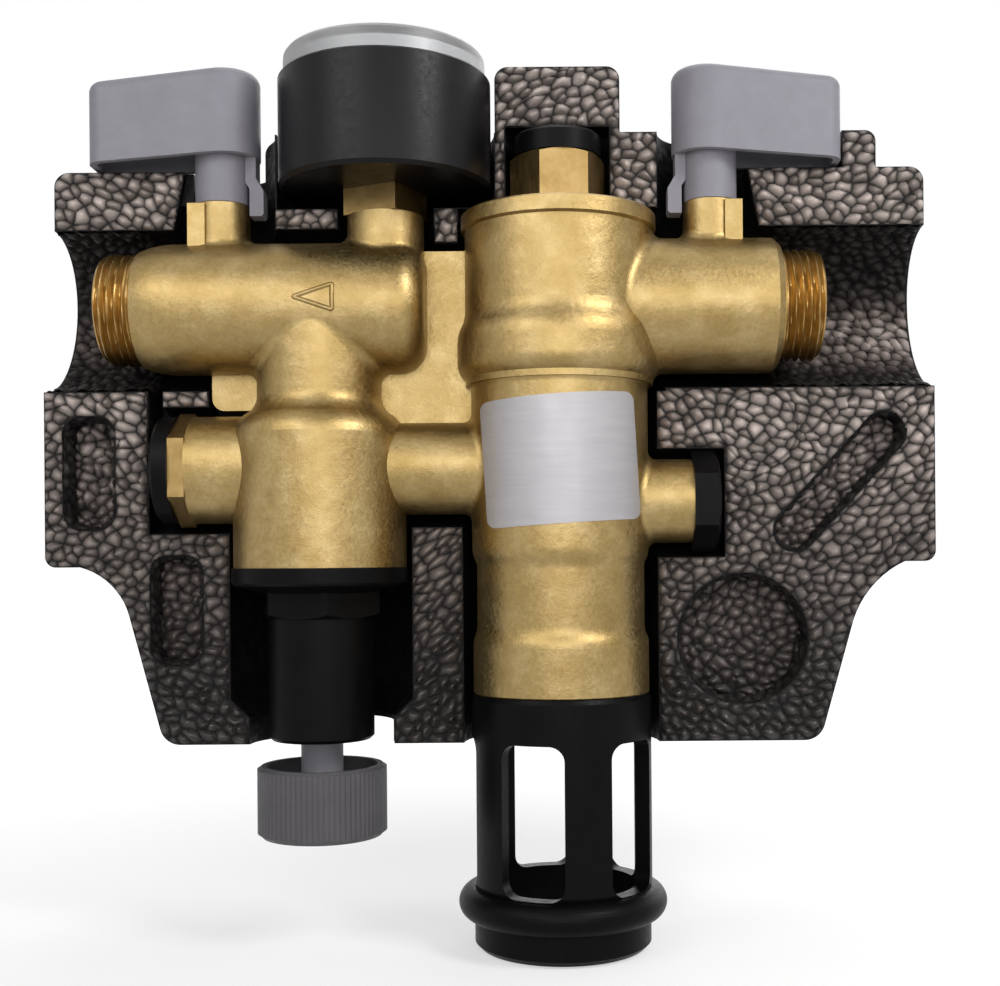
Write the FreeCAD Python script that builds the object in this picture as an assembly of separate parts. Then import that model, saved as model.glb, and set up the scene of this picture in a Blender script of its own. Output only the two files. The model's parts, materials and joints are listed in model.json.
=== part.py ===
import FreeCAD, Part
import math
import os

# A boiler filling block: one cast brass body with two shut-off valves, a separator, a pressure
# reducer and a gauge, lying in the rear half of its bead-foam insulation.
# Millimetres. It is laid out about the separator's upright axis, with the pipe line at height
# zero and the insulation's parting face at Y zero. Saving moves it to the inlet's end face.

vector = FreeCAD.Vector
axis_x = vector(1, 0, 0)
axis_y = vector(0, 1, 0)
axis_z = vector(0, 0, 1)

# Pipe line
inlet_face_x = 61.9
outlet_face_x = -108.0
inlet_barrel_end_x = 52.1
outlet_barrel_end_x = -99.2
inlet_barrel_radius = 16.0
outlet_barrel_radius = 15.5
outlet_dome_x = -31.6
outlet_dome_corner = 6.5
inlet_cone_length = 1.6
inlet_cone_radius = 14.6
outlet_round_length = 8.0
outlet_end_radius = 13.8
union_thread_radius = 13.22
pipe_bore = 7.5
web_left_x = -83.5
web_front_y = 1.0
web_back_y = 7.0
web_top_z = 14.0
web_bottom_z = -24.0
web_round = 3.0
casting_round = 2.8
neck_round = 2.5
port_round = 2.0

# Shut-off valves
inlet_stem_x = 36.5
outlet_stem_x = -80.4
ball_radius = 10.0
ball_bore = 6.5
ball_chamber_radius = 10.6
seat_reach = 11.0
connector_spigot_radius = 11.4
neck_radius = 6.5
neck_top_z = 24.6
stem_radius = 4.0
stem_top_z = 33.0
stem_flat = 3.0
stem_seal_radius = 5.5
stem_seal_height = 4.5
handle_sleeve_radius = 6.35
handle_bottom_z = 35.6
handle_top_z = 55.8
handle_hub_radius = 9.1
handle_reach = 30.8
handle_tip_half = 6.5
handle_tip_round = 4.0
handle_top_slope = 0.075
handle_bottom_slope = 0.052
handle_edge_round = 2.6
handle_wall = 1.7
handle_roof = 3.0
stop_tab_width = 5.0

# Gauge
gauge_x = -41.3
gauge_boss_radius = 9.1
gauge_boss_top_z = 21.8
gauge_shank_radius = 4.8
gauge_square_width = 14.4
gauge_square_turn = -26.0
gauge_bottom_z = 28.0
gauge_top_z = 54.0
gauge_radius = 25.3
gauge_window_radius = 24.0
gauge_window_top_z = 59.8
dial_radius = 23.3
dial_z = 49.0
dial_thickness = 0.8
pointer_z = 51.2
bourdon_radius = 15.0
bourdon_z = 38.0
pointer_shaft_radius = 0.8
pointer_rest_angle = 225.0

# Separator
separator_radius = 21.1
separator_top_radius = 22.4
separator_top_z = 21.5
separator_bottom_z = -92.2
separator_bore = 16.5
separator_roof_z = 14.0
cartridge_radius = 16.3
cartridge_bore = 13.0
cartridge_top_z = -10.0
cartridge_bottom_z = -88.9
inlet_seat_z = -15.0
inlet_seat_bore = 8.0
check_stem_radius = 2.0
relief_ledge_z = -70.0
relief_ledge_bore = 6.0
relief_piston_z = -58.0
relief_piston_height = 4.0
relief_stem_radius = 4.0
relief_disc_z = -81.0
relief_seat_z = -85.0
top_plug_width = 19.8
top_plug_turn = 8.0
top_plug_top_z = 35.6
top_cap_radius = 10.5
top_cap_top_z = 40.9
right_port_z = -46.6
right_port_radius = 10.0
right_port_end_x = 31.4
right_plug_width = 21.0
right_plug_end_x = 37.5
port_bore = 6.0
label_width = 35.6
label_top_z = -23.0
label_bottom_z = -52.2
label_tilt = 3.5
label_thickness = 0.15

# Connecting pipe and left port
link_z = -38.4
link_radius = 11.0
link_bore = 8.5
check_bore = 6.5
check_shoulder_x = -24.0
left_port_radius = 12.85
left_port_end_x = -87.2
left_plug_width = 23.6
left_plug_end_x = -91.0
left_cap_radius = 13.0
left_cap_end_x = -95.2
left_port_bore = 9.5

# Pressure reducer
reducer_x = -57.5
branch_radius = 14.75
branch_bore = 11.0
cup_shoulder_z = -25.0
cup_radius = 20.5
cup_bottom_z = -61.9
cup_bore = 17.0
cup_roof_z = -28.0
bonnet_radius = 12.5
bonnet_bottom_z = -102.8
bonnet_hex_width = 26.0
bonnet_hex_turn = 15.0
spindle_radius = 5.0
spindle_thread_radius = 4.0
knob_radius = 15.35
knob_top_z = -109.0
knob_bottom_z = -125.8
knob_rib_count = 72
knob_rib_depth = 0.2
knob_floor = 2.2
knob_hub_height = 8.0
spring_plate_z = -92.0
spindle_top_z = -74.0
bonnet_bore = 10.4
bonnet_floor_z = -99.0
reducer_cartridge_radius = 16.8
reducer_chamber = 9.5
reducer_insert_top_z = -28.2
reducer_insert_bottom_z = -60.5
reducer_piston_bore = 14.6
reducer_piston_bottom_z = -56.5
reducer_seat_z = -43.0
reducer_seat_bore = 5.0
reducer_lift = 2.0

# Drain cage
cage_radius = 21.4
cage_wall = 3.8
cage_window_top_z = -102.5
cage_window_bottom_z = -137.6
cage_window_width = 15.2
cage_strut_angle = 16.0
cage_strut_count = 5
cage_bead_radius = 24.9
cage_bead_z = -141.6
cage_bead_half = 3.8
spigot_radius = 21.1
spigot_bottom_z = -152.2

# Insulation
shell_depth = 46.0
shell_back_round = 1.8
shell_top_z = 33.3
shell_wall_z = 42.1
shell_peak_z = 57.9
shell_shoulder_z = -61.4
shell_bottom_z = -104.2
neck_pocket_radius = 12.6
trough_radius = 19.3
socket_depth = 8.0
socket_round = 4.5

running_clearance = 0.06


def at(x, y=0.0, z=0.0):
    return vector(x, y, z)


def rod(radius, start, end):
    """A round bar from one point to another."""
    along = end.sub(start)
    return Part.makeCylinder(radius, along.Length, start, along)


def turned(profile, base=vector(), along=axis_z):
    """A turned piece: (radius, distance along the axis) pairs, spun about an axis."""
    points = [vector(radius, 0, height) for radius, height in profile]
    face = Part.Face(Part.makePolygon(points + points[:1]))
    piece = face.revolve(vector(), axis_z, 360)
    piece.Placement = FreeCAD.Placement(base, FreeCAD.Rotation(axis_z, along))
    return piece


def hexagon(across_flats, start, end, turn=0.0):
    """A hexagonal prism with a flat towards the front when it isn't turned."""
    corner = across_flats / 2 / math.cos(math.pi / 6)
    angles = [math.radians(turn + 60 * step) for step in range(6)]
    points = [vector(corner * math.cos(a), corner * math.sin(a), 0) for a in angles]
    along = end.sub(start)
    piece = Part.Face(Part.makePolygon(points + points[:1])).extrude(axis_z * along.Length)
    piece.Placement = FreeCAD.Placement(start, FreeCAD.Rotation(axis_z, along))
    return piece


def chamfered_hexagon(across_flats, start, end, turn=0.0):
    """A hexagon with its outer corners turned off at 30 degrees, as on a machined plug."""
    along = end.sub(start)
    corner = across_flats / 2 / math.cos(math.pi / 6)
    drop = (corner - across_flats / 2) * math.tan(math.pi / 6)
    cone = turned([(0, 0), (corner + 0.1, 0), (corner + 0.1, along.Length - drop),
                   (across_flats / 2, along.Length), (0, along.Length)], start, along)
    return hexagon(across_flats, start, end, turn).common(cone)


def outline(start, *steps):
    """A closed wire in the XZ plane: (x, z) is a line, (x, z, x, z) an arc through the first point."""
    edges = []
    here = at(start[0], 0, start[1])
    for step in steps:
        end = at(step[-2], 0, step[-1])
        if len(step) == 4:
            middle = at(step[0], 0, step[1])
            edges.append(Part.Arc(here, middle, end).toShape())
        else:
            edges.append(Part.LineSegment(here, end).toShape())
        here = end
    edges.append(Part.LineSegment(here, at(start[0], 0, start[1])).toShape())
    return Part.Wire(edges)


def plate(wire, front_y, back_y):
    """An outline of the XZ plane carried from one depth to another."""
    piece = Part.Face(wire).extrude(axis_y * (back_y - front_y))
    piece.translate(at(0, front_y, 0))
    return piece


def block(x0, x1, y0, y1, z0, z1):
    return Part.makeBox(x1 - x0, y1 - y0, z1 - z0, at(x0, y0, z0))


def rounded_block(x0, x1, y0, y1, z0, z1, radius):
    """A block with rounded corners as seen from the front."""
    piece = block(x0, x1, y0, y1, z0, z1)
    return piece.makeFillet(radius, [e for e in piece.Edges if runs_along(e, axis_y)])


def runs_along(edge, direction):
    if edge.Curve.TypeId != "Part::GeomLine":
        return False
    return abs(edge.tangentAt(edge.FirstParameter).dot(direction)) > 0.999


def fused(first, *others):
    return first.multiFuse(list(others)).removeSplitter()


def coil(radius, wire, start, end, turns):
    """A compression spring between two points: a square wire of a given width carried along a helix."""
    along = end.sub(start)
    height = along.Length - wire
    half = wire / 2
    helix = Part.makeHelix(height / turns, height, radius)
    corners = [at(radius + dx, 0, dz) for dx, dz in ((-half, -half), (half, -half), (half, half),
                                                     (-half, half))]
    spring = helix.makePipeShell([Part.makePolygon(corners + corners[:1])], True, True)
    spring.translate(axis_z * half)
    spring.Placement = FreeCAD.Placement(start, FreeCAD.Rotation(axis_z, along)).multiply(spring.Placement)
    return spring


def save(name, piece):
    piece = piece.copy()
    piece.translate(at(-inlet_face_x))
    piece.exportStep("parts/" + name + ".step")


# Cast brass body

def outlet_barrel():
    """The left barrel: a rounded thread end, and a rounded blind end by the separator."""
    end_x = outlet_barrel_end_x
    drop = outlet_barrel_radius - outlet_end_radius
    round_x = outlet_dome_x - outlet_dome_corner
    inner = outlet_barrel_radius - outlet_dome_corner
    slope = outlet_dome_corner * math.sqrt(0.5)
    profile = outline((end_x, 0), (end_x, outlet_end_radius),
                      (end_x + outlet_round_length / 2, outlet_barrel_radius - drop / 4,
                       end_x + outlet_round_length, outlet_barrel_radius),
                      (round_x, outlet_barrel_radius),
                      (round_x + slope, inner + slope, outlet_dome_x, inner), (outlet_dome_x, 0))
    return Part.Face(profile).revolve(vector(), axis_x, 360)


def inlet_barrel():
    return turned([(0, 0), (inlet_barrel_radius, 0),
                   (inlet_barrel_radius, inlet_barrel_end_x - inlet_cone_length),
                   (inlet_cone_radius, inlet_barrel_end_x), (0, inlet_barrel_end_x)], at(0), axis_x)


def separator_casting():
    """The upright body: flange, cylinder, swelling ring, label zone, waist and foot, run together."""
    profile = outline((0, separator_top_z), (22.9, separator_top_z), (23.3, 21.1), (23.3, 17.9),
                      (separator_top_radius, 17.4), (separator_top_radius, -1.0),
                      (22.63, -3.0, 23.35, -5.0), (24.07, -7.0, 24.3, -9.0), (24.3, -13.5),
                      (23.7, -16.0, 22.3, -17.6), (21.4, -18.7, separator_radius, -20.4),
                      (separator_radius, -57.5),
                      (20.9, -59.2, 20.5, -60.3), (20.1, -61.4, 20.0, -63.0), (20.0, -75.5),
                      (20.12, -77.0, 20.5, -78.2), (20.85, -79.2, 21.0, -80.5),
                      (21.0, separator_bottom_z + 0.4), (20.6, separator_bottom_z), (0, separator_bottom_z))
    return Part.Face(profile).revolve(vector(), axis_z, 360)


def reducer_casting():
    """The branch from the outlet barrel, widening in a curve to the reducer's cup."""
    profile = outline((0, 0), (branch_radius, 0), (branch_radius, cup_shoulder_z + 4.5),
                      (15.3, cup_shoulder_z + 1.8, 17.0, cup_shoulder_z - 0.2),
                      (19.4, cup_shoulder_z - 2.4, cup_radius, cup_shoulder_z - 5.6),
                      (cup_radius, cup_bottom_z), (0, cup_bottom_z))
    piece = Part.Face(profile).revolve(vector(), axis_z, 360)
    piece.translate(at(reducer_x))
    return piece


def valve_neck(stem_x):
    """The round neck that carries a valve's stem."""
    return rod(neck_radius, at(stem_x), at(stem_x, 0, neck_top_z))


def stop_rib(stem_x, side):
    """An upright rib on the outer front of a valve's neck."""
    ends = sorted((stem_x + side * 2.8, stem_x + side * 6.9))
    return block(ends[0], ends[1], -6.4, -1.0, 10.0, neck_top_z - 0.4)


def flat_web():
    """The flat web behind the branches, deeper where it meets the connecting pipe."""
    right_x = -separator_radius + 4
    whole = rounded_block(web_left_x, right_x, web_front_y, web_back_y, web_bottom_z, web_top_z, web_round)
    return fused(whole, block(reducer_x, right_x, web_front_y, web_back_y, link_z, web_bottom_z + web_round))


def valve_bores(stem_x, side, barrel_end_x):
    """What is bored for one valve: ball chamber, connector thread, stem hole and seal recess."""
    inner_x = stem_x - side * seat_reach
    outer_x = stem_x + side * seat_reach
    return [rod(ball_chamber_radius, at(inner_x), at(outer_x)),
            rod(connector_spigot_radius, at(outer_x), at(barrel_end_x)),
            rod(stem_radius + running_clearance, at(stem_x), at(stem_x, 0, neck_top_z)),
            rod(stem_seal_radius, at(stem_x, 0, neck_top_z - stem_seal_height), at(stem_x, 0, neck_top_z))]


def blended(first, second, radius):
    """Two parts of the casting run into each other, with a round along the seam between them."""
    seam = first.section(second)
    whole = first.fuse(second).removeSplitter()
    edges = []
    for edge in whole.Edges:
        middle = edge.valueAt((edge.FirstParameter + edge.LastParameter) / 2)
        if seam.distToShape(Part.Vertex(middle))[0] < 0.02:
            edges.append(edge)
    return whole.makeFillet(radius, edges)


def left_casting():
    """Outlet barrel with its branch, reducer cup, valve neck, gauge boss and left port."""
    casting = blended(outlet_barrel(), reducer_casting(), casting_round)
    casting = blended(casting, valve_neck(outlet_stem_x), neck_round)
    boss = rod(gauge_boss_radius, at(gauge_x), at(gauge_x, 0, gauge_boss_top_z))
    casting = blended(casting, boss, neck_round)
    port = rod(left_port_radius, at(reducer_x, 0, link_z), at(left_port_end_x, 0, link_z))
    return casting.fuse(port)


def right_casting():
    """Separator with the inlet barrel, its valve neck, the right port and the pipe to the reducer."""
    casting = rod(separator_top_radius, at(0, 0, -19), at(0, 0, separator_top_z))
    casting = blended(casting, inlet_barrel(), casting_round)
    casting = blended(casting, valve_neck(inlet_stem_x), neck_round)
    upright = separator_casting()
    port = rod(right_port_radius, at(0, 0, right_port_z), at(right_port_end_x, 0, right_port_z))
    link = rod(link_radius, at(reducer_x + cup_bore, 0, link_z), at(0, 0, link_z))
    upright = blended(blended(upright, port, port_round), link, port_round)
    return casting.fuse(upright).removeSplitter()


def brass_body():
    """The casting with all its bores."""
    casting = left_casting().multiFuse(
        [right_casting(), flat_web(), stop_rib(inlet_stem_x, 1), stop_rib(outlet_stem_x, -1)])
    bores = valve_bores(inlet_stem_x, 1, inlet_barrel_end_x)
    bores += valve_bores(outlet_stem_x, -1, outlet_barrel_end_x)
    bores += [
        rod(pipe_bore, at(outlet_stem_x), at(gauge_x)),
        rod(pipe_bore, at(0), at(inlet_stem_x)),
        rod(gauge_shank_radius, at(gauge_x), at(gauge_x, 0, gauge_boss_top_z)),
        rod(branch_bore, at(reducer_x), at(reducer_x, 0, cup_roof_z)),
        rod(cup_bore, at(reducer_x, 0, cup_roof_z), at(reducer_x, 0, cup_bottom_z)),
        rod(link_bore, at(reducer_x, 0, link_z), at(check_shoulder_x, 0, link_z)),
        rod(check_bore, at(check_shoulder_x, 0, link_z), at(0, 0, link_z)),
        rod(left_port_bore, at(reducer_x, 0, link_z), at(left_port_end_x, 0, link_z)),
        rod(port_bore, at(0, 0, right_port_z), at(right_port_end_x, 0, right_port_z)),
        rod(separator_bore, at(0, 0, separator_bottom_z), at(0, 0, separator_roof_z)),
        rod(port_bore, at(0), at(0, 0, separator_top_z))]
    return casting.cut(bores)


# Shut-off valves

def end_connector(stem_x, side, barrel_end_x, face_x):
    """Screwed into the barrel's end, it holds the ball's seats and carries the union thread."""
    inner = seat_reach
    shoulder = abs(barrel_end_x - stem_x)
    face = abs(face_x - stem_x)
    return turned([(pipe_bore, inner), (connector_spigot_radius, inner), (connector_spigot_radius, shoulder),
                   (union_thread_radius, shoulder), (union_thread_radius, face), (pipe_bore + 2, face),
                   (pipe_bore + 2, face - 1.5), (pipe_bore, face - 3.0)], at(stem_x), axis_x * side)


def ball_seats(stem_x):
    """Two plastic rings, hollowed to the ball's round, one each side of it."""
    rings = []
    for side in (1, -1):
        ring = turned([(ball_bore, 7.2), (ball_chamber_radius, 7.2), (ball_chamber_radius, seat_reach),
                       (ball_bore, seat_reach)], at(stem_x), axis_x * side)
        rings.append(ring.cut(Part.makeSphere(ball_radius + running_clearance, at(stem_x))))
    return Part.Compound(rings)


def valve_ball(stem_x):
    """A bored ball with a slot across its top for the stem's tang."""
    ball = Part.makeSphere(ball_radius, at(stem_x))
    ball = ball.cut(rod(ball_bore, at(stem_x - ball_radius), at(stem_x + ball_radius)))
    return ball.cut(block(stem_x - 2.05, stem_x + 2.05, -ball_radius, ball_radius, 7.6, ball_radius))


def valve_stem(stem_x):
    """A round stem: a tang in the ball below, two flats for the handle above."""
    stem = rod(stem_radius, at(stem_x, 0, 7.7), at(stem_x, 0, stem_top_z))
    for side in (1, -1):
        outer = sorted((stem_x + side * 2.0, stem_x + side * 5.0))
        stem = stem.cut(block(outer[0], outer[1], -5, 5, 7.0, ball_radius + 0.1))
        flat = sorted((side * stem_flat, side * 5.0))
        stem = stem.cut(block(stem_x - 5, stem_x + 5, flat[0], flat[1], neck_top_z + 2, stem_top_z))
    return stem


def stem_seal(stem_x):
    bottom = neck_top_z - stem_seal_height
    return turned([(stem_radius + running_clearance, bottom), (stem_seal_radius, bottom),
                   (stem_seal_radius, neck_top_z), (stem_radius + running_clearance, neck_top_z)], at(stem_x))


def handle_plan():
    """The handle from above: two straight sides run from the hub's round to the tip's rounded corners."""
    tip_x = handle_reach - handle_tip_round
    tip_y = handle_tip_half - handle_tip_round
    shrink = (handle_hub_radius - handle_tip_round) / math.hypot(tip_x, tip_y)
    lean = math.atan2(tip_y, tip_x) + math.acos(shrink)

    def around(x, y, radius, angle):
        return at(x + radius * math.cos(angle), y + radius * math.sin(angle))

    edges = []
    for way in (1, -1):
        hub_end = around(0, 0, handle_hub_radius, way * lean)
        side_end = around(tip_x, way * tip_y, handle_tip_round, way * lean)
        middle = around(tip_x, way * tip_y, handle_tip_round, way * lean / 2)
        edges.append(Part.LineSegment(hub_end, side_end).toShape())
        edges.append(Part.Arc(side_end, middle, at(handle_reach, way * tip_y)).toShape())
    edges.append(Part.LineSegment(at(handle_reach, tip_y), at(handle_reach, -tip_y)).toShape())
    edges.append(Part.Arc(around(0, 0, handle_hub_radius, lean), at(-handle_hub_radius),
                          around(0, 0, handle_hub_radius, -lean)).toShape())
    return Part.Face(Part.Wire(Part.__sortEdges__(edges)))


def valve_handle(stem_x, side):
    """A deep moulded lever, hollow from below, on a long sleeve, with a stop tab that hangs down."""
    far = handle_reach + 10
    head = handle_plan().extrude(axis_z * far)
    head.translate(axis_z * (handle_bottom_z - 5))
    side_view = plate(outline((-far, handle_bottom_z + far * handle_bottom_slope),
                              (far, handle_bottom_z - far * handle_bottom_slope),
                              (far, handle_top_z - far * handle_top_slope),
                              (-far, handle_top_z + far * handle_top_slope)), -far, far)
    head = head.common(side_view)
    rim = [e for e in head.Edges if e.BoundBox.ZMin > handle_top_z - handle_reach * handle_top_slope - 0.1]
    head = head.makeFillet(handle_edge_round, rim)
    roof_z = handle_top_z - handle_roof
    hollow = handle_plan().makeOffset2D(-handle_wall).extrude(axis_z * far)
    hollow.translate(axis_z * (roof_z - far))
    under_roof = plate(outline((-far, roof_z + far * handle_top_slope),
                               (far, roof_z - far * handle_top_slope),
                               (far, -far), (-far, -far)), -far, far)
    hollow = hollow.common(under_roof)
    sleeve_bottom = neck_top_z + 0.2
    sleeve = rod(handle_sleeve_radius, at(0, 0, sleeve_bottom), at(0, 0, roof_z + 1))
    tab = plate(outline((-6.0, handle_bottom_z + 2), (-8.5, handle_bottom_z + 2), (-8.5, 31.0), (-10.3, 28.0),
                        (-10.3, 22.5), (-9.8, 22.0), (-7.0, 22.0), (-7.0, 28.5), (-6.0, 30.0)),
                -stop_tab_width / 2, stop_tab_width / 2)
    socket = rod(stem_radius, at(0, 0, sleeve_bottom), at(0, 0, stem_top_z))
    for way in (1, -1):
        flat = sorted((way * stem_flat, way * 5.0))
        socket = socket.cut(block(-5, 5, flat[0], flat[1], neck_top_z + 2, stem_top_z))
    handle = fused(head.cut(hollow), sleeve, tab).cut(socket)
    if side < 0:
        handle.rotate(vector(), axis_z, 180)
    handle.translate(at(stem_x))
    return handle


# Gauge

def gauge_case():
    """A black moulded cup with a ledge for the dial."""
    return turned([(gauge_shank_radius, gauge_bottom_z), (gauge_radius - 0.9, gauge_bottom_z),
                   (gauge_radius, gauge_bottom_z + 0.9), (gauge_radius, gauge_top_z - 0.5),
                   (gauge_radius - 0.5, gauge_top_z), (gauge_window_radius, gauge_top_z),
                   (gauge_window_radius, dial_z), (dial_radius - 1.8, dial_z),
                   (dial_radius - 1.8, gauge_bottom_z + 2.2), (gauge_shank_radius, gauge_bottom_z + 2.2)],
                  at(gauge_x))


def gauge_socket():
    """The brass connection: threaded shank, square, and the block that holds the bourdon tube."""
    shank = rod(gauge_shank_radius, at(gauge_x, 0, 9.0), at(gauge_x, 0, gauge_boss_top_z))
    half = gauge_square_width / 2
    square = block(-half, half, -half, half, gauge_boss_top_z, gauge_bottom_z)
    square.rotate(vector(), axis_z, gauge_square_turn)
    square.translate(at(gauge_x))
    upper = rod(gauge_shank_radius, at(gauge_x, 0, gauge_bottom_z), at(gauge_x, 0, bourdon_z + 3))
    arm = block(gauge_x - 3, gauge_x + 3, -bourdon_radius - 3, 0, bourdon_z - 3, bourdon_z + 3)
    socket = fused(shank, square, upper, arm)
    return socket.cut(rod(1.5, at(gauge_x, 0, 9.0), at(gauge_x, 0, bourdon_z)))


def bourdon_tube():
    """A flat-sided tube bent to three quarters of a ring, from the socket's block."""
    section = block(bourdon_radius - 1.0, bourdon_radius + 1.0, -0.05, 0.05, bourdon_z - 2.5, bourdon_z + 2.5)
    face = [f for f in section.Faces if abs(f.CenterOfMass.y - 0.05) < 0.001][0]
    tube = face.revolve(vector(), axis_z, 262)
    tube.rotate(vector(), axis_z, -78)
    tube.translate(at(gauge_x))
    return tube


def gauge_movement():
    """The plate that carries the pointer's shaft, on two pillars that stand on the socket's block."""
    bush = turned([(pointer_shaft_radius + running_clearance, 43), (9.0, 43), (9.0, 44.2), (2.0, 44.2),
                   (2.0, 46.5),
                   (pointer_shaft_radius + running_clearance, 46.5)], at(gauge_x))
    pillars = [rod(0.9, at(gauge_x + dx, -6, bourdon_z + 3), at(gauge_x + dx, -6, 43)) for dx in (-2, 2)]
    return fused(bush, *pillars)


def gauge_dial():
    return turned([(pointer_shaft_radius + 0.4, dial_z), (dial_radius, dial_z),
                   (dial_radius, dial_z + dial_thickness),
                   (pointer_shaft_radius + 0.4, dial_z + dial_thickness)], at(gauge_x))


def gauge_pointer():
    """A tapered needle with a short tail, on its hub and shaft. It rests at the zero of the scale."""
    wire = Part.makePolygon([at(-6, -1.3, 0), at(-6, 1.3, 0), at(0, 1.1, 0), at(17.5, 0.25, 0), at(17.5,
                                                                                                   -0.25, 0),
                             at(0, -1.1, 0), at(-6, -1.3, 0)])
    needle = Part.Face(wire).extrude(axis_z * 0.5)
    needle.rotate(vector(), axis_z, pointer_rest_angle)
    needle.translate(at(gauge_x, 0, pointer_z))
    hub = rod(2.2, at(gauge_x, 0, pointer_z), at(gauge_x, 0, pointer_z + 1.2))
    shaft = rod(pointer_shaft_radius, at(gauge_x, 0, 43.2), at(gauge_x, 0, pointer_z))
    return fused(needle, hub, shaft)


def gauge_window():
    """A clear window with a rounded edge, snapped into the case."""
    inner = gauge_window_radius - 1.6
    edge = gauge_window_radius
    top = gauge_window_top_z
    return turned([(0, top), (edge - 1.6, top), (edge - 0.6, top - 0.3), (edge - 0.1, top - 1.0),
                   (edge, top - 1.8),
                   (edge, dial_z + 2.0), (inner, dial_z + 2.0), (inner, top - 2.4), (0, top - 1.8)],
                   at(gauge_x))


# Plugs and label

def top_plug():
    """A brass hexagon plug in the separator's roof, with a groove under its hexagon's upper end."""
    shank = rod(port_bore, at(0, 0, separator_roof_z), at(0, 0, separator_top_z))
    head = chamfered_hexagon(top_plug_width, at(0, 0, separator_top_z), at(0, 0, top_plug_top_z),
                             top_plug_turn)
    return shank.fuse(head).removeSplitter()


def top_cap():
    return turned([(0, top_plug_top_z), (top_cap_radius, top_plug_top_z),
                   (top_cap_radius, top_cap_top_z - 0.8),
                   (top_cap_radius - 0.8, top_cap_top_z), (0, top_cap_top_z)])


def left_plug():
    shank = rod(left_port_bore, at(left_port_end_x + 9, 0, link_z), at(left_port_end_x, 0, link_z))
    head = hexagon(left_plug_width, at(left_port_end_x, 0, link_z), at(left_plug_end_x, 0, link_z))
    return shank.fuse(head).removeSplitter()


def left_cap():
    length = left_plug_end_x - left_cap_end_x
    return turned([(0, 0), (left_cap_radius, 0), (left_cap_radius, length - 0.8),
                   (left_cap_radius - 0.8, length),
                   (0, length)], at(left_plug_end_x, 0, link_z), axis_x * -1)


def right_plug():
    shank = rod(port_bore, at(right_port_end_x - 8, 0, right_port_z), at(right_port_end_x, 0, right_port_z))
    head = chamfered_hexagon(right_plug_width, at(right_port_end_x, 0, right_port_z),
                             at(right_plug_end_x, 0, right_port_z))
    return shank.fuse(head).removeSplitter()


def rating_label():
    """A foil wrapped round the front of the separator, with rounded corners."""
    outer = separator_radius + label_thickness
    spare = label_width * math.sin(math.radians(label_tilt))
    foil = turned([(separator_radius, label_bottom_z - spare), (outer, label_bottom_z - spare),
                   (outer, label_top_z + spare), (separator_radius, label_top_z + spare)])
    half = label_width / 2
    sheet = rounded_block(-half, half, -outer - 1, 0, label_bottom_z, label_top_z, 2.0)
    sheet.rotate(at(0, 0, (label_top_z + label_bottom_z) / 2), axis_y, -label_tilt)
    return foil.common(sheet)


# Inside the separator

def cartridge_sleeve():
    """A moulded sleeve: inlet seat at the top, windows to the ports, and a ledge for the relief spring."""
    sleeve = turned([(inlet_seat_bore, cartridge_top_z), (cartridge_radius, cartridge_top_z),
                     (cartridge_radius, cartridge_bottom_z), (cartridge_bore, cartridge_bottom_z),
                     (cartridge_bore, relief_ledge_z - 2), (relief_ledge_bore, relief_ledge_z - 2),
                     (relief_ledge_bore, relief_ledge_z), (cartridge_bore, relief_ledge_z),
                     (cartridge_bore, inlet_seat_z), (inlet_seat_bore, inlet_seat_z)])
    to_link = rod(check_bore, at(-20, 0, link_z), at(0, 0, link_z))
    to_port = rod(port_bore - 1, at(0, 0, right_port_z), at(20, 0, right_port_z))
    return sleeve.cut([to_link, to_port])


def inlet_strainer():
    return turned([(11.3, cartridge_top_z), (12.0, cartridge_top_z), (12.0, separator_roof_z),
                   (11.3, separator_roof_z)])


def poppet(disc_radius, disc_length, stem_length, base, along):
    """A check valve's disc, with a coned rim and a guide stem behind it."""
    return turned([(0, 0), (disc_radius - 1.0, 0), (disc_radius, 1.0), (disc_radius, disc_length),
                   (check_stem_radius, disc_length), (check_stem_radius, stem_length), (0, stem_length)],
                   base, along)


def check_guide(radius, length, base, along):
    """A ring with three arms that carry a bush for the check valve's stem."""
    hole = check_stem_radius + running_clearance
    guide = turned([(hole, 0), (radius, 0), (radius, length), (hole, length)], base, along)
    for step in range(3):
        opening = rod(radius * 0.21, base, base + along * length)
        opening.translate(at(0, 0, radius * 0.62) if along.z == 0 else at(radius * 0.62))
        opening.rotate(base, along, 120 * step)
        guide = guide.cut(opening)
    return guide


def relief_piston():
    bottom = relief_piston_z - relief_piston_height
    return turned([(0, relief_piston_z), (cartridge_bore - running_clearance, relief_piston_z),
                   (cartridge_bore - running_clearance, bottom), (relief_stem_radius, bottom),
                   (relief_stem_radius, relief_disc_z), (0, relief_disc_z)])


def relief_disc():
    return turned([(0, relief_disc_z), (10.0, relief_disc_z), (10.0, relief_seat_z + 0.05),
                   (0, relief_seat_z + 0.05)])


def relief_seat_ring():
    return turned([(8.0, relief_seat_z), (cartridge_bore, relief_seat_z),
                   (cartridge_bore, cartridge_bottom_z),
                   (8.0, cartridge_bottom_z)])


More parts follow.
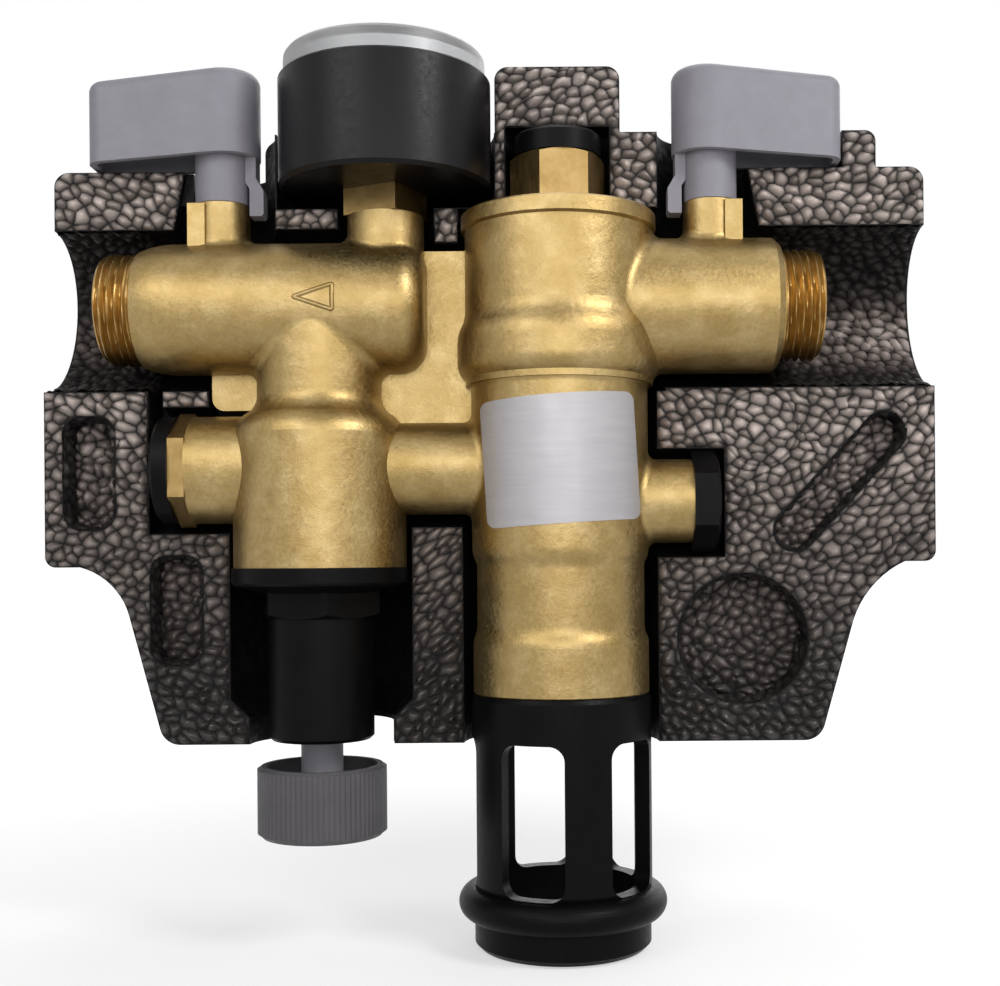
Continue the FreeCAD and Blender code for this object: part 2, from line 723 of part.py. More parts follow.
def drain_cage():
    """The open cage under the separator: screwed top, five struts, a rounded bead and the drain spigot."""
    inner = cage_radius - cage_wall
    bead = [(spigot_radius + (cage_bead_radius - spigot_radius) * math.sin(math.radians(angle)),
             cage_bead_z + cage_bead_half * math.cos(math.radians(angle))) for angle in range(0, 181, 10)]
    cage = turned([(10.0, cartridge_bottom_z), (separator_bore - 0.1, cartridge_bottom_z),
                   (separator_bore - 0.1, separator_bottom_z), (cage_radius - 0.5, separator_bottom_z),
                   (cage_radius, separator_bottom_z - 1.0), (cage_radius, cage_bead_z + cage_bead_half + 1)]
                  + bead + [(spigot_radius, spigot_bottom_z + 1.2), (spigot_radius - 1.2, spigot_bottom_z),
                            (inner, spigot_bottom_z), (inner, cage_window_top_z + 5),
                            (10.0, cage_window_top_z + 5)])
    half = cage_window_width / 2
    step = 360 / cage_strut_count
    for index in range(cage_strut_count):
        window = rounded_block(-half, half, -cage_radius - 5, -8, cage_window_bottom_z, cage_window_top_z,
                               3.5)
        window.rotate(vector(), axis_z, cage_strut_angle + step * (index + 0.5))
        cage = cage.cut(window)
    return cage


# Inside and below the reducer

def reducer_cartridge():
    """The seat insert: inlet holes, valve seat, piston bore and two ways up to the branch."""
    groove = reducer_cartridge_radius - 1.2
    body = turned([(reducer_chamber, reducer_insert_top_z), (reducer_cartridge_radius, reducer_insert_top_z),
                   (reducer_cartridge_radius, link_z + 4), (groove, link_z + 4), (groove, link_z - 4),
                   (reducer_cartridge_radius, link_z - 4), (reducer_cartridge_radius,
                                                            reducer_insert_bottom_z),
                   (reducer_piston_bore, reducer_insert_bottom_z), (reducer_piston_bore, reducer_seat_z - 3),
                   (reducer_seat_bore, reducer_seat_z - 3), (reducer_seat_bore, reducer_seat_z),
                   (reducer_chamber, reducer_seat_z)], at(reducer_x))
    ways = []
    for step in range(2):
        inlet = rod(3.0, at(reducer_x + 6, 0, link_z), at(reducer_x + 20, 0, link_z))
        inlet.rotate(at(reducer_x), axis_z, 180 * step)
        outlet = rod(1.5, at(reducer_x + 12.4, 0, reducer_seat_z - 4),
                     at(reducer_x + 12.4, 0, reducer_insert_top_z))
        outlet.rotate(at(reducer_x), axis_z, 180 * step + 90)
        ways += [inlet, outlet]
    return body.cut(ways)


def reducer_guide_bush():
    hole = spindle_radius + running_clearance
    return turned([(hole, -33.0), (reducer_chamber, -33.0), (reducer_chamber, reducer_insert_top_z),
                   (hole, reducer_insert_top_z)], at(reducer_x))


def reducer_piston():
    """Piston, valve stem, valve disc and balancing spindle in one turned piece. It rests open."""
    return turned([(0, reducer_piston_bottom_z), (reducer_piston_bore - running_clearance,
                                                  reducer_piston_bottom_z),
                   (reducer_piston_bore - running_clearance, reducer_piston_bottom_z + 4.5),
                   (3.0, reducer_piston_bottom_z + 4.5), (3.0, reducer_seat_z + reducer_lift),
                   (7.5, reducer_seat_z + reducer_lift), (7.5, reducer_seat_z + reducer_lift + 2.5),
                   (spindle_radius, reducer_seat_z + reducer_lift + 2.5), (spindle_radius,
                                                                           reducer_insert_top_z - 0.8),
                   (0, reducer_insert_top_z - 0.8)], at(reducer_x))


def reducer_bonnet():
    """The black spring bonnet: flange, cone, hexagon and a long barrel that the spindle comes out of."""
    flange = cup_radius + 0.5
    outer = turned([(0, reducer_insert_bottom_z), (cup_bore - 0.1, reducer_insert_bottom_z),
                    (cup_bore - 0.1, cup_bottom_z), (flange, cup_bottom_z), (flange, -65.4),
                    (flange - 0.6, -66.0),
                    (bonnet_radius + 1.6, -67.8), (bonnet_radius, -67.8),
                    (bonnet_radius, bonnet_bottom_z + 0.8),
                    (bonnet_radius - 0.8, bonnet_bottom_z), (0, bonnet_bottom_z)], at(reducer_x))
    grip = chamfered_hexagon(bonnet_hex_width, at(reducer_x, 0, -66.5), at(reducer_x, 0, -73.8),
                             bonnet_hex_turn)
    hollow = [rod(bonnet_bore, at(reducer_x, 0, reducer_insert_bottom_z), at(reducer_x, 0, bonnet_floor_z)),
              rod(spindle_radius + running_clearance, at(reducer_x, 0, bonnet_floor_z),
                  at(reducer_x, 0, bonnet_bottom_z))]
    keyway = block(reducer_x - bonnet_bore - 1, reducer_x + bonnet_bore + 1, -1.6, 1.6, bonnet_floor_z, -76.0)
    return fused(outer, grip).cut(hollow + [keyway])


def adjusting_spindle():
    """The setting screw: a collar in the bonnet, a thread for the spring plate, a plain end in the knob."""
    return turned([(0, spindle_top_z), (spindle_thread_radius, spindle_top_z),
                   (spindle_thread_radius, bonnet_floor_z + 2.6), (7.0, bonnet_floor_z + 2.6),
                   (7.0, bonnet_floor_z + 0.1), (spindle_radius, bonnet_floor_z + 0.1),
                   (spindle_radius, knob_bottom_z + knob_floor), (0, knob_bottom_z + knob_floor)],
                   at(reducer_x))


def spring_plate():
    """The nut plate that climbs the setting screw, kept from turning by two keys in the bonnet."""
    plate_part = turned([(spindle_thread_radius + running_clearance, spring_plate_z),
                         (bonnet_bore - 0.3, spring_plate_z),
                         (bonnet_bore - 0.3, spring_plate_z + 3), (6.0, spring_plate_z + 3),
                         (6.0, spring_plate_z + 6),
                         (spindle_thread_radius + running_clearance, spring_plate_z + 6)], at(reducer_x))
    keys = []
    for side in (1, -1):
        ends = sorted((reducer_x + side * (bonnet_bore - 1.5), reducer_x + side * (bonnet_bore + 0.7)))
        keys.append(block(ends[0], ends[1], -1.3, 1.3, spring_plate_z, spring_plate_z + 3))
    return fused(plate_part, *keys)


def adjusting_knob():
    """A cup-shaped knob, open above, with fine ribs round its side and a hub on the spindle."""
    root_radius = knob_radius - knob_rib_depth
    points = []
    for index in range(knob_rib_count):
        for share, radius in ((0.0, root_radius), (0.3, knob_radius), (0.7, knob_radius)):
            angle = 2 * math.pi * (index + share) / knob_rib_count
            points.append(at(reducer_x + radius * math.cos(angle), radius * math.sin(angle),
                             knob_bottom_z + 1.0))
    height = knob_top_z - knob_bottom_z
    ribs = Part.Face(Part.makePolygon(points + points[:1])).extrude(axis_z * (height - 1.6))
    body = turned([(0, 0), (root_radius - 1.0, 0), (root_radius - 0.1, 1.0),
                   (root_radius - 0.1, height - 0.6),
                   (root_radius - 0.7, height), (0, height)], at(reducer_x, 0, knob_bottom_z))
    hollow = turned([(spindle_radius + 2.2, knob_floor), (knob_radius - 2.4, knob_floor),
                     (knob_radius - 2.2, height),
                     (0, height), (0, knob_hub_height), (spindle_radius + 2.2, knob_hub_height)],
                    at(reducer_x, 0, knob_bottom_z))
    socket = rod(spindle_radius, at(reducer_x, 0, knob_bottom_z + knob_floor), at(reducer_x, 0, knob_top_z))
    return ribs.fuse(body).cut([hollow, socket])


# Insulation

def shell_block():
    """The outside of the rear insulation half: its front outline, with a rounded back edge."""
    left_x = -120.8
    right_x = 87.8
    low_left_x = -123.7
    low_right_x = 90.1
    corners = (((left_x, shell_top_z), 3.5), ((-72.0, shell_wall_z), 2.0), ((-15.0, shell_peak_z), 3.2),
               ((15.0, shell_peak_z), 3.2), ((76.4, shell_wall_z), 2.6), ((right_x, shell_top_z), 3.5),
               ((low_right_x, shell_shoulder_z), 2.6), ((62.1, shell_bottom_z), 5.0),
               ((-95.4, shell_bottom_z), 5.0), ((low_left_x, shell_shoulder_z), 2.6))
    wire = outline((left_x, trough_radius), (left_x, shell_top_z), (-72.0, shell_top_z),
                   (-72.0, shell_wall_z), (-15.0, shell_wall_z), (-15.0, shell_peak_z), (15.0, shell_peak_z),
                   (15.0, shell_wall_z), (76.4, shell_wall_z), (76.4, shell_top_z), (right_x, shell_top_z),
                   (right_x, trough_radius), (low_right_x, -trough_radius), (low_right_x, shell_shoulder_z),
                   (82.7, shell_shoulder_z), (74.3, -67.9, 70.2, -75.5), (62.1, shell_bottom_z),
                   (-95.4, shell_bottom_z), (-103.6, -73.3), (-107.4, -66.2, -115.3, shell_shoulder_z),
                   (low_left_x, shell_shoulder_z), (low_left_x, -trough_radius))
    piece = plate(wire, 0, shell_depth)
    for (x, z), radius in corners:
        piece = piece.makeFillet(radius, [e for e in piece.Edges if runs_along(e, axis_y)
                                          and math.hypot(e.CenterOfMass.x - x, e.CenterOfMass.z - z) < 0.01])
    back = [e for e in piece.Edges if abs(e.CenterOfMass.y - shell_depth) < 0.01]
    return piece.makeFillet(shell_back_round, back)


def neck_pocket(stem_x, side):
    """Room for a valve's neck, sleeve and stop tab, with a leaning wall on the outer side."""
    room = rod(neck_pocket_radius, at(0, 0, 5), at(0, 0, 60))
    reach = neck_pocket_radius + 1
    wall = plate(outline((-reach, 5), (-12.0, 18.0), (-9.0, shell_top_z), (-9.0, 61), (reach, 61),
                         (reach, 5)),
                 -reach, reach)
    room = room.common(wall)
    if side > 0:
        room.rotate(vector(), axis_z, 180)
    else:
        room = room.cut(block(-reach, -handle_sleeve_radius - 1.0, 2.0, reach, neck_top_z + 1, shell_top_z))
    room.translate(at(stem_x))
    hub_room = rod(handle_hub_radius + 1.0, at(stem_x, 0, shell_top_z), at(stem_x, 0, 60))
    return room.fuse(hub_room)


def shell_pockets():
    """The rooms in the parting face for the fitting."""
    wide = separator_radius + 4.3
    deep = -110.0
    return [
        rod(trough_radius, at(-130), at(outlet_dome_x + 2)),
        rod(trough_radius, at(0), at(100)),
        turned([(0, deep), (23.4, deep), (23.4, -20.0), (wide, -20.0), (wide, -3.0), (24.0, -3.0),
                (24.0, 24.0),
                (top_cap_radius + 2, 24.0), (top_cap_radius + 2, 43.4), (0, 43.4)]),
        turned([(0, deep), (17.3, deep), (17.3, -97.8), (21.85, -93.5), (21.85, -22.0), (0, -22.0)],
               at(reducer_x)),
        block(-84.1, -20.0, -1.0, web_back_y + 2.0, -30.0, 15.8),
        rod(branch_radius + 3.0, at(reducer_x), at(reducer_x, 0, -30)),
        rod(link_radius + 3.0, at(reducer_x, 0, link_z), at(0, 0, link_z)),
        rod(15.2, at(-98.6, 0, link_z), at(reducer_x, 0, link_z)),
        block(-98.6, left_cap_end_x, -1.0, 12.0, link_z, -trough_radius + 2),
        block(reducer_x + 2, reducer_x + 16.6, 1.0, shell_depth + 1, shell_bottom_z - 1,
              shell_bottom_z + 5.2),
        rod(13.0, at(0, 0, right_port_z - 0.4), at(39.5, 0, right_port_z - 0.4)),
        rod(gauge_radius + 0.8, at(gauge_x, 0, 24.2), at(gauge_x, 0, 70)),
        rod(gauge_boss_radius + 2.4, at(gauge_x), at(gauge_x, 0, 25)),
        neck_pocket(inlet_stem_x, 1),
        neck_pocket(outlet_stem_x, -1),
        block(inlet_stem_x, 68.3, -1.0, handle_hub_radius + 1.0, shell_top_z, 60.0)]


def shell_sockets():
    """Plain recesses in the parting face: a round one, a slanting slot and two upright slots."""
    round_socket = rod(15.6, at(43.6, -1, -79.6), at(43.6, socket_depth, -79.6))
    slot_run = at(21.6, 0, 23.3)
    slot = rounded_block(-5.1, slot_run.Length + 5.1, -1, socket_depth, -5.1, 5.1, 5.05)
    slot.rotate(vector(), axis_y, -math.degrees(math.atan2(slot_run.z, slot_run.x)))
    slot.translate(at(56.3, 0, -53.8))
    return [round_socket, slot,
            rounded_block(-119.2, -106.7, -1, socket_depth, -52.5, -25.2, socket_round),
            rounded_block(-98.5, -85.8, -1, socket_depth, -85.1, -58.7, socket_round)]


def rear_insulation_shell():
    return shell_block().cut(shell_pockets() + shell_sockets())


os.makedirs("parts", exist_ok=True)
save("brass_body", brass_body())
valves = (("inlet", inlet_stem_x, 1, inlet_barrel_end_x, inlet_face_x),
          ("outlet", outlet_stem_x, -1, outlet_barrel_end_x, outlet_face_x))
for name, stem_x, side, barrel_end_x, face_x in valves:
    save(name + "_end_connector", end_connector(stem_x, side, barrel_end_x, face_x))
    save(name + "_ball_seats", ball_seats(stem_x))
    save(name + "_ball", valve_ball(stem_x))
    save(name + "_stem", valve_stem(stem_x))
    save(name + "_stem_seal", stem_seal(stem_x))
    save(name + "_handle", valve_handle(stem_x, side))

save("gauge_case", gauge_case())
save("gauge_socket", gauge_socket())
save("gauge_bourdon_tube", bourdon_tube())
save("gauge_movement", gauge_movement())
save("gauge_dial", gauge_dial())
save("gauge_pointer", gauge_pointer())
save("gauge_window", gauge_window())

save("separator_top_plug", top_plug())
save("separator_top_cap", top_cap())
save("left_port_plug", left_plug())
save("left_port_cap", left_cap())
save("right_port_plug", right_plug())
save("foil_label", rating_label())

save("cartridge_sleeve", cartridge_sleeve())
save("inlet_strainer", inlet_strainer())
inlet_poppet_base = at(0, 0, inlet_seat_z - 0.05)
inlet_guide_z = inlet_seat_z - 14
save("inlet_check_poppet", poppet(10.0, 2.5, 17.0, inlet_poppet_base, axis_z * -1))
save("inlet_check_guide", check_guide(cartridge_bore, 3.0, at(0, 0, inlet_guide_z), axis_z * -1))
save("inlet_check_spring", coil(5.0, 0.9, at(0, 0, inlet_seat_z - 2.6), at(0, 0, inlet_guide_z + 0.05), 3))
save("relief_piston", relief_piston())
save("relief_disc", relief_disc())
save("relief_seat_ring", relief_seat_ring())
relief_spring_top = at(0, 0, relief_piston_z - relief_piston_height - 0.05)
save("relief_spring", coil(8.0, 1.2, at(0, 0, relief_ledge_z + 0.05), relief_spring_top, 2))

check_seat_x = check_shoulder_x - 2.5
check_guide_x = check_seat_x - 10.5
save("outlet_check_seat", turned([(5.8, 0), (link_bore, 0), (link_bore, 2.5), (5.8, 2.5)],
                                 at(check_seat_x, 0, link_z), axis_x))
save("outlet_check_poppet", poppet(7.2, 2.5, 12.5, at(check_seat_x - 0.05, 0, link_z), axis_x * -1))
save("outlet_check_guide", check_guide(link_bore, 2.5, at(check_guide_x, 0, link_z), axis_x * -1))
save("outlet_check_spring", coil(4.2, 0.8, at(check_guide_x + 0.05, 0, link_z),
                                 at(check_seat_x - 2.6, 0, link_z), 3))
save("drain_cage", drain_cage())

save("reducer_cartridge", reducer_cartridge())
save("reducer_guide_bush", reducer_guide_bush())
save("reducer_piston", reducer_piston())
save("reducer_bonnet", reducer_bonnet())
save("adjusting_spindle", adjusting_spindle())
save("adjusting_knob", adjusting_knob())
save("spring_plate", spring_plate())
save("setting_spring", coil(8.2, 2.0, at(reducer_x, 0, spring_plate_z + 3.05),
                            at(reducer_x, 0, reducer_piston_bottom_z - 0.05), 5))
save("rear_insulation_shell", rear_insulation_shell())
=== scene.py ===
import json
import math

import bpy
import numpy as np
from mathutils import Matrix, Vector


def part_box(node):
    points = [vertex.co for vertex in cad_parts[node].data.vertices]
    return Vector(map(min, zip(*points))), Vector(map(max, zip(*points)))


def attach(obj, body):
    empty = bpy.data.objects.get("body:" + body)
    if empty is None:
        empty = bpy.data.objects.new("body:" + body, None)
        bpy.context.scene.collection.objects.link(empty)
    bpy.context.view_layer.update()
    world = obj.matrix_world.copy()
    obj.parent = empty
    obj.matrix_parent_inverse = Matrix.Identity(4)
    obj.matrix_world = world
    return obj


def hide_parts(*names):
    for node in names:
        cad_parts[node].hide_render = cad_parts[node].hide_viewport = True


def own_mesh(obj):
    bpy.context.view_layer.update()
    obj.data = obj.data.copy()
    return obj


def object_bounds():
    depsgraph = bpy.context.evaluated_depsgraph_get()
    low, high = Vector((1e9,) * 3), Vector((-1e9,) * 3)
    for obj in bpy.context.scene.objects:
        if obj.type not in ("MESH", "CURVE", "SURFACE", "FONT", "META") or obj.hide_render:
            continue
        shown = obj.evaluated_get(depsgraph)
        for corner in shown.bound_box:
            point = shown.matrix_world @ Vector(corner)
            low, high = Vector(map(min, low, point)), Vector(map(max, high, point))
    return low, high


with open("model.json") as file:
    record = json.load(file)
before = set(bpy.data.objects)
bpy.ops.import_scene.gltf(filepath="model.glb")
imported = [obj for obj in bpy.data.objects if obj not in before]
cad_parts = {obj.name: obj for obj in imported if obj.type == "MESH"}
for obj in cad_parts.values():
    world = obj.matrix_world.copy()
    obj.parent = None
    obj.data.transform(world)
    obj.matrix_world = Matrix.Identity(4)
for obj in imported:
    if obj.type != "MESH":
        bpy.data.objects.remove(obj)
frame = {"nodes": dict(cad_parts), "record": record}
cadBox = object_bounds()
nodes = frame["nodes"]
scene = bpy.context.scene
scene.view_settings.view_transform = "Standard"
mm = 0.001
print("frame loaded:", len(nodes), "nodes")


# where the main axes stand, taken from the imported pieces
def middle(nodeName):
    low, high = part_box(nodeName)
    return (low + high) / 2


separatorX = middle("separator_top_cap").x
separatorLine = separatorX / mm
gaugeX = middle("gauge_case").x
windowRadius = (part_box("gauge_window")[1].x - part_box("gauge_window")[0].x) / 2
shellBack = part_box("rear_insulation_shell")[1].y / mm


# meshes from whole arrays
def meshFromArrays(name, points, faces, smooth=True):
    mesh = bpy.data.meshes.new(name)
    mesh.from_pydata(points.tolist(), [], faces.tolist())
    mesh.polygons.foreach_set("use_smooth", np.full(len(faces), smooth))
    mesh.update()
    piece = bpy.data.objects.new(name, mesh)
    scene.collection.objects.link(piece)
    return piece


# a grid of rows x columns points gives one quad per cell; wrapped directions join the last line to the first
def gridFaces(rows, columns, wrapRows=False, wrapColumns=False):
    index = np.arange(rows * columns).reshape(rows, columns)
    if wrapRows:
        index = np.vstack([index, index[:1]])
    if wrapColumns:
        index = np.hstack([index, index[:, :1]])
    corners = [index[:-1, :-1], index[:-1, 1:], index[1:, 1:], index[1:, :-1]]
    return np.stack([c.ravel() for c in corners], axis=1)


# distance run along a line of points, from nothing at its first point
def runAlong(ends):
    return np.concatenate([[0], np.cumsum(np.hypot(*np.diff(ends, axis=0).T))])


# points at even steps of that distance
def evenSteps(ends, run, place):
    return np.stack([np.interp(place, run, ends[:, 0]), np.interp(place, run, ends[:, 1])], axis=1)


# the direction to the left of a closed line: across the chord between each point's two neighbours
def leftOf(line):
    along = np.roll(line, -1, 0) - np.roll(line, 1, 0)
    along /= np.hypot(*along.T)[:, None]
    return np.stack([-along[:, 1], along[:, 0]], axis=1)


# a quarter circle from nothing on the rim to one at the given width and further in
def roundedRim(distance, width):
    return np.sqrt(1 - (1 - np.clip(distance / width, 0, 1)) ** 2)


def setAttribute(piece, name, values):
    layer = piece.data.attributes.new(name, "FLOAT", "POINT")
    layer.data.foreach_set("value", values.astype(np.float32))


def wear(piece, material):
    piece.data.materials.clear()
    piece.data.materials.append(material)


# node helpers for the finishes
class Finish:
    def __init__(self, name):
        self.material = bpy.data.materials.new(name)
        self.material.use_nodes = True
        self.tree = self.material.node_tree
        self.shader = self.tree.nodes["Principled BSDF"]
        self.coordinates = self.tree.nodes.new("ShaderNodeTexCoord").outputs["Object"]

    def put(self, **sockets):  # constant values straight on the shader
        for name, value in sockets.items():
            self.shader.inputs[name.replace("_", " ")].default_value = value
        return self

    def join(self, source, target):
        self.tree.links.new(source, target)

    def feed(self, value, socket):  # a link or a constant
        if hasattr(value, "is_linked"):
            self.join(value, socket)
        else:
            socket.default_value = value

    def node(self, kind, **settings):
        made = self.tree.nodes.new(kind)
        for name, value in settings.items():
            setattr(made, name, value)
        return made

    def stretched(self, scale):  # the same coordinates, pulled along an axis
        mapping = self.node("ShaderNodeMapping")
        mapping.inputs["Scale"].default_value = scale
        self.join(self.coordinates, mapping.inputs["Vector"])
        return mapping.outputs["Vector"]

    def noise(self, size, detail=4.0, roughness=0.55, source=None):  # size of a blotch in millimetres
        made = self.node("ShaderNodeTexNoise")
        made.inputs["Scale"].default_value = 1 / (size * mm)
        made.inputs["Detail"].default_value = detail
        made.inputs["Roughness"].default_value = roughness
        self.join(source or self.coordinates, made.inputs["Vector"])
        return made.outputs["Fac"]

    def cells(self, size):  # size of a cell in millimetres
        made = self.node("ShaderNodeTexVoronoi")
        made.inputs["Scale"].default_value = 1 / (size * mm)
        self.join(self.coordinates, made.inputs["Vector"])
        return made

    def attribute(self, name):
        return self.node("ShaderNodeAttribute", attribute_name=name).outputs["Fac"]

    def ramp(self, factor, *stops):  # stops: (place, colour or grey)
        made = self.node("ShaderNodeValToRGB")
        elements = made.color_ramp.elements
        while len(elements) < len(stops):
            elements.new(0.5)
        for element, (place, tone) in zip(elements, stops):
            element.position = place
            element.color = (*tone, 1) if hasattr(tone, "__len__") else (tone, tone, tone, 1)
        self.join(factor, made.inputs["Fac"])
        return made.outputs["Color"]

    def between(self, factor, low, high):  # the middle of a noise's range, spread from low to high
        return self.ramp(factor, (0.3, low), (0.7, high))

    def blend(self, factor, first, second, mode="MIX"):
        made = self.node("ShaderNodeMix", data_type="RGBA", blend_type=mode)
        for value, place in ((factor, 0), (first, 6), (second, 7)):
            self.feed(value, made.inputs[place])
        return made.outputs[2]

    def math(self, operation, first, second):
        made = self.node("ShaderNodeMath", operation=operation)
        self.feed(first, made.inputs[0])
        self.feed(second, made.inputs[1])
        return made.outputs[0]

    def colour(self, source):
        self.join(source, self.shader.inputs["Base Color"])
        return self

    def roughness(self, source):
        self.join(source, self.shader.inputs["Roughness"])
        return self

    def bump(self, *layers):  # layers: (height, depth in millimetres), one on top of another
        normal = None
        for height, depth in layers:
            made = self.node("ShaderNodeBump")
            made.inputs["Distance"].default_value = depth * mm
            self.join(height, made.inputs["Height"])
            if normal:
                self.join(normal, made.inputs["Normal"])
            normal = made.outputs["Normal"]
        self.join(normal, self.shader.inputs["Normal"])
        return self


def srgb(red, green, blue):
    values = np.array([red, green, blue]) / 255
    return tuple(np.where(values > 0.04045, ((values + 0.055) / 1.055) ** 2.4, values / 12.92))


# cast brass: satin skin, faint clouds a few millimetres wide, fine blasted grain
castBrassLook = {"deep": (139, 117, 72), "mid": (151, 129, 85), "pale": (166, 145, 102), "cloud": 7.0,
                 "speck": 0.8, "speckShare": 0.3, "speckTone": (0.32, 0.7), "gloss": (0.33, 0.48),
                 "grain": 0.35, "grainDepth": 0.045, "swell": 1.7, "swellDepth": 0.075}


def castBrass():
    look = castBrassLook
    f = Finish("castBrass")
    speck = f.noise(look["speck"], 3.0, 0.6)
    tone = f.ramp(f.noise(look["cloud"], 5.0, 0.6), (0.28, srgb(*look["deep"])), (0.5, srgb(*look["mid"])),
                  (0.72, srgb(*look["pale"])))
    f.colour(f.blend(look["speckShare"], tone, f.between(speck, *look["speckTone"]), "OVERLAY"))
    f.roughness(f.between(speck, *look["gloss"]))
    f.bump((f.noise(look["grain"], 3.0, 0.6), look["grainDepth"]),
           (f.noise(look["swell"], 2.0, 0.5), look["swellDepth"]))
    return f.put(Metallic=1.0).material


# cut brass with fine tool lines: turned for the threads, milled and paler for the plugs and the gauge's square
turnedLook = {"dark": (146, 116, 66), "light": (170, 140, 88), "blotch": 3.0, "line": 0.22,
              "pull": (1.0, 0.06, 0.06), "gloss": (0.3, 0.42), "depth": 0.012}
milledLook = {"dark": (130, 106, 64), "light": (152, 128, 84), "blotch": 4.0, "line": 0.5,
              "pull": (1.0, 1.0, 0.12), "gloss": (0.34, 0.46), "depth": 0.008}


def cutBrass(name, look):
    f = Finish(name)
    lines = f.noise(look["line"], 2.0, 0.5, f.stretched(look["pull"]))
    f.colour(f.between(f.noise(look["blotch"]), srgb(*look["dark"]), srgb(*look["light"])))
    f.roughness(f.between(lines, *look["gloss"]))
    f.bump((lines, look["depth"]))
    return f.put(Metallic=1.0).material


# spring steel and dial enamel: a tone that drifts a little and an uneven gloss
steelLook = {"dark": (150, 150, 154), "light": (192, 192, 196), "blotch": 2.0, "gloss": (0.22, 0.38),
             "glossBlotch": 0.4, "metal": 1.0}
enamelLook = {"dark": (238, 238, 233), "light": (247, 247, 243), "blotch": 5.0, "gloss": (0.35, 0.5),
              "glossBlotch": 1.0, "metal": 0.0}


def plainFinish(name, look):
    f = Finish(name)
    f.colour(f.between(f.noise(look["blotch"]), srgb(*look["dark"]), srgb(*look["light"])))
    f.roughness(f.between(f.noise(look["glossBlotch"]), *look["gloss"]))
    return f.put(Metallic=look["metal"]).material


# moulded plastic: a fine eroded grain and a faint cloudiness
plasticLook = {
    "blackPlastic": {"dark": (5, 5, 6), "light": (9, 9, 10), "gloss": (0.32, 0.46), "grain": 0.02, "shine": 0.07},
    "greyPlastic": {"dark": (120, 118, 125), "light": (127, 125, 132), "gloss": (0.42, 0.58), "grain": 0.02,
                    "shine": 0.3},
    # painted shade: the handles' grey plastic darkened for the knob
    "shadedGreyPlastic": {"dark": (74, 72, 75), "light": (82, 80, 83), "gloss": (0.42, 0.58), "grain": 0.02,
                        "shine": 0.3},
    "sealWhite": {"dark": (222, 221, 216), "light": (236, 235, 231), "gloss": (0.40, 0.55), "grain": 0.02,
                  "shine": 0.5},
    "gaugeBlack": {"dark": (8, 8, 9), "light": (13, 12, 14), "gloss": (0.3, 0.44), "grain": 0.02, "shine": 0.16},
    "dialInk": {"dark": (18, 18, 20), "light": (30, 30, 32), "gloss": (0.5, 0.6), "grain": 0.005, "shine": 0.5},
}


def mouldedPlastic(name):
    look = plasticLook[name]
    f = Finish(name)
    f.colour(f.between(f.noise(6.0, 5.0, 0.6), srgb(*look["dark"]), srgb(*look["light"])))
    f.roughness(f.between(f.noise(1.2), *look["gloss"]))
    f.bump((f.noise(0.3, 2.0), look["grain"]))
    return f.put(Specular_IOR_Level=look["shine"]).material


# bead foam in the pockets: smooth moulded skin with the beads only just showing, near-black as painted shade
pocketLook = {"dark": (8, 7, 8), "light": (20, 18, 18), "bead": 2.6, "beadDepth": 0.25, "grain": 0.5,
              "grainDepth": 0.05, "gloss": (0.45, 0.7), "shine": 0.12}


def pocketFoam():
    look = pocketLook
    f = Finish("pocketFoam")
    cell = f.cells(look["bead"])
    f.colour(f.ramp(cell.outputs["Color"], (0.0, srgb(*look["dark"])), (1.0, srgb(*look["light"]))))
    f.roughness(f.between(f.noise(1.5), *look["gloss"]))
    f.bump((f.ramp(cell.outputs["Distance"], (0.0, 1.0), (0.7, 0.0)), look["beadDepth"]),
           (f.noise(look["grain"]), look["grainDepth"]))
    return f.put(Specular_IOR_Level=look["shine"]).material


# bead foam with its beads standing out: each bead its own tone, glossy tops, and painted shade: the colour fades from
# each bead's middle to a dark tone at its rim and in the gaps between beads
beadTones = {
    # copies of one dark foam: the outer tone is its own colour, the pale face, recess and trough tones are painted
    # sheen
    "faceBeads": {"low": (13, 11, 10), "mid": (130, 119, 113), "high": (178, 165, 158), "gap": (9, 8, 8),
                  "gloss": (0.2, 0.34), "shine": 0.34},
    "recessBeads": {"low": (12, 10, 10), "mid": (118, 107, 102), "high": (160, 148, 142), "gap": (4, 3, 3),
                    "gloss": (0.22, 0.36), "shine": 0.3},
    # painted shade: the socket walls' near-black copy of the foam
    "shadedWallBeads": {"low": (6, 5, 5), "mid": (26, 24, 23), "high": (42, 38, 36), "gap": (3, 2, 2),
                  "gloss": (0.3, 0.45), "shine": 0.2},
    "troughBeads": {"low": (5, 4, 4), "mid": (122, 111, 106), "high": (166, 154, 148), "gap": (3, 2, 2),
                    "gloss": (0.34, 0.5), "shine": 0.14},
    "outerBeads": {"low": (22, 20, 20), "mid": (36, 33, 32), "high": (50, 46, 45), "gap": (10, 9, 9),
                   "gloss": (0.4, 0.55), "shine": 0.2},
}
gapShadeLook = {"dark": 0.02, "half": 0.22, "clear": 0.62, "roughness": (0.95, 0.95, 0.95, 1)}


def beadFoam(name):
    look = beadTones[name]
    f = Finish(name)
    tone = f.ramp(f.attribute("beadTone"), (0.0, srgb(*look["low"])), (0.6, srgb(*look["mid"])),
                  (1.0, srgb(*look["high"])))
    # painted shade: dark in the gaps and on the beads' rounded sides, fading to the bead tone in the middle
    gap = f.ramp(f.attribute("beadEdgeShade"), (gapShadeLook["dark"], 0.0), (gapShadeLook["half"], 0.5), (gapShadeLook["clear"], 1.0))
    f.colour(f.blend(gap, (*srgb(*look["gap"]), 1), tone))
    f.roughness(f.blend(gap, gapShadeLook["roughness"], f.between(f.noise(0.9), *look["gloss"])))
    f.bump((f.noise(0.45, 3.0), 0.04))
    return f.put(Specular_IOR_Level=look["shine"]).material


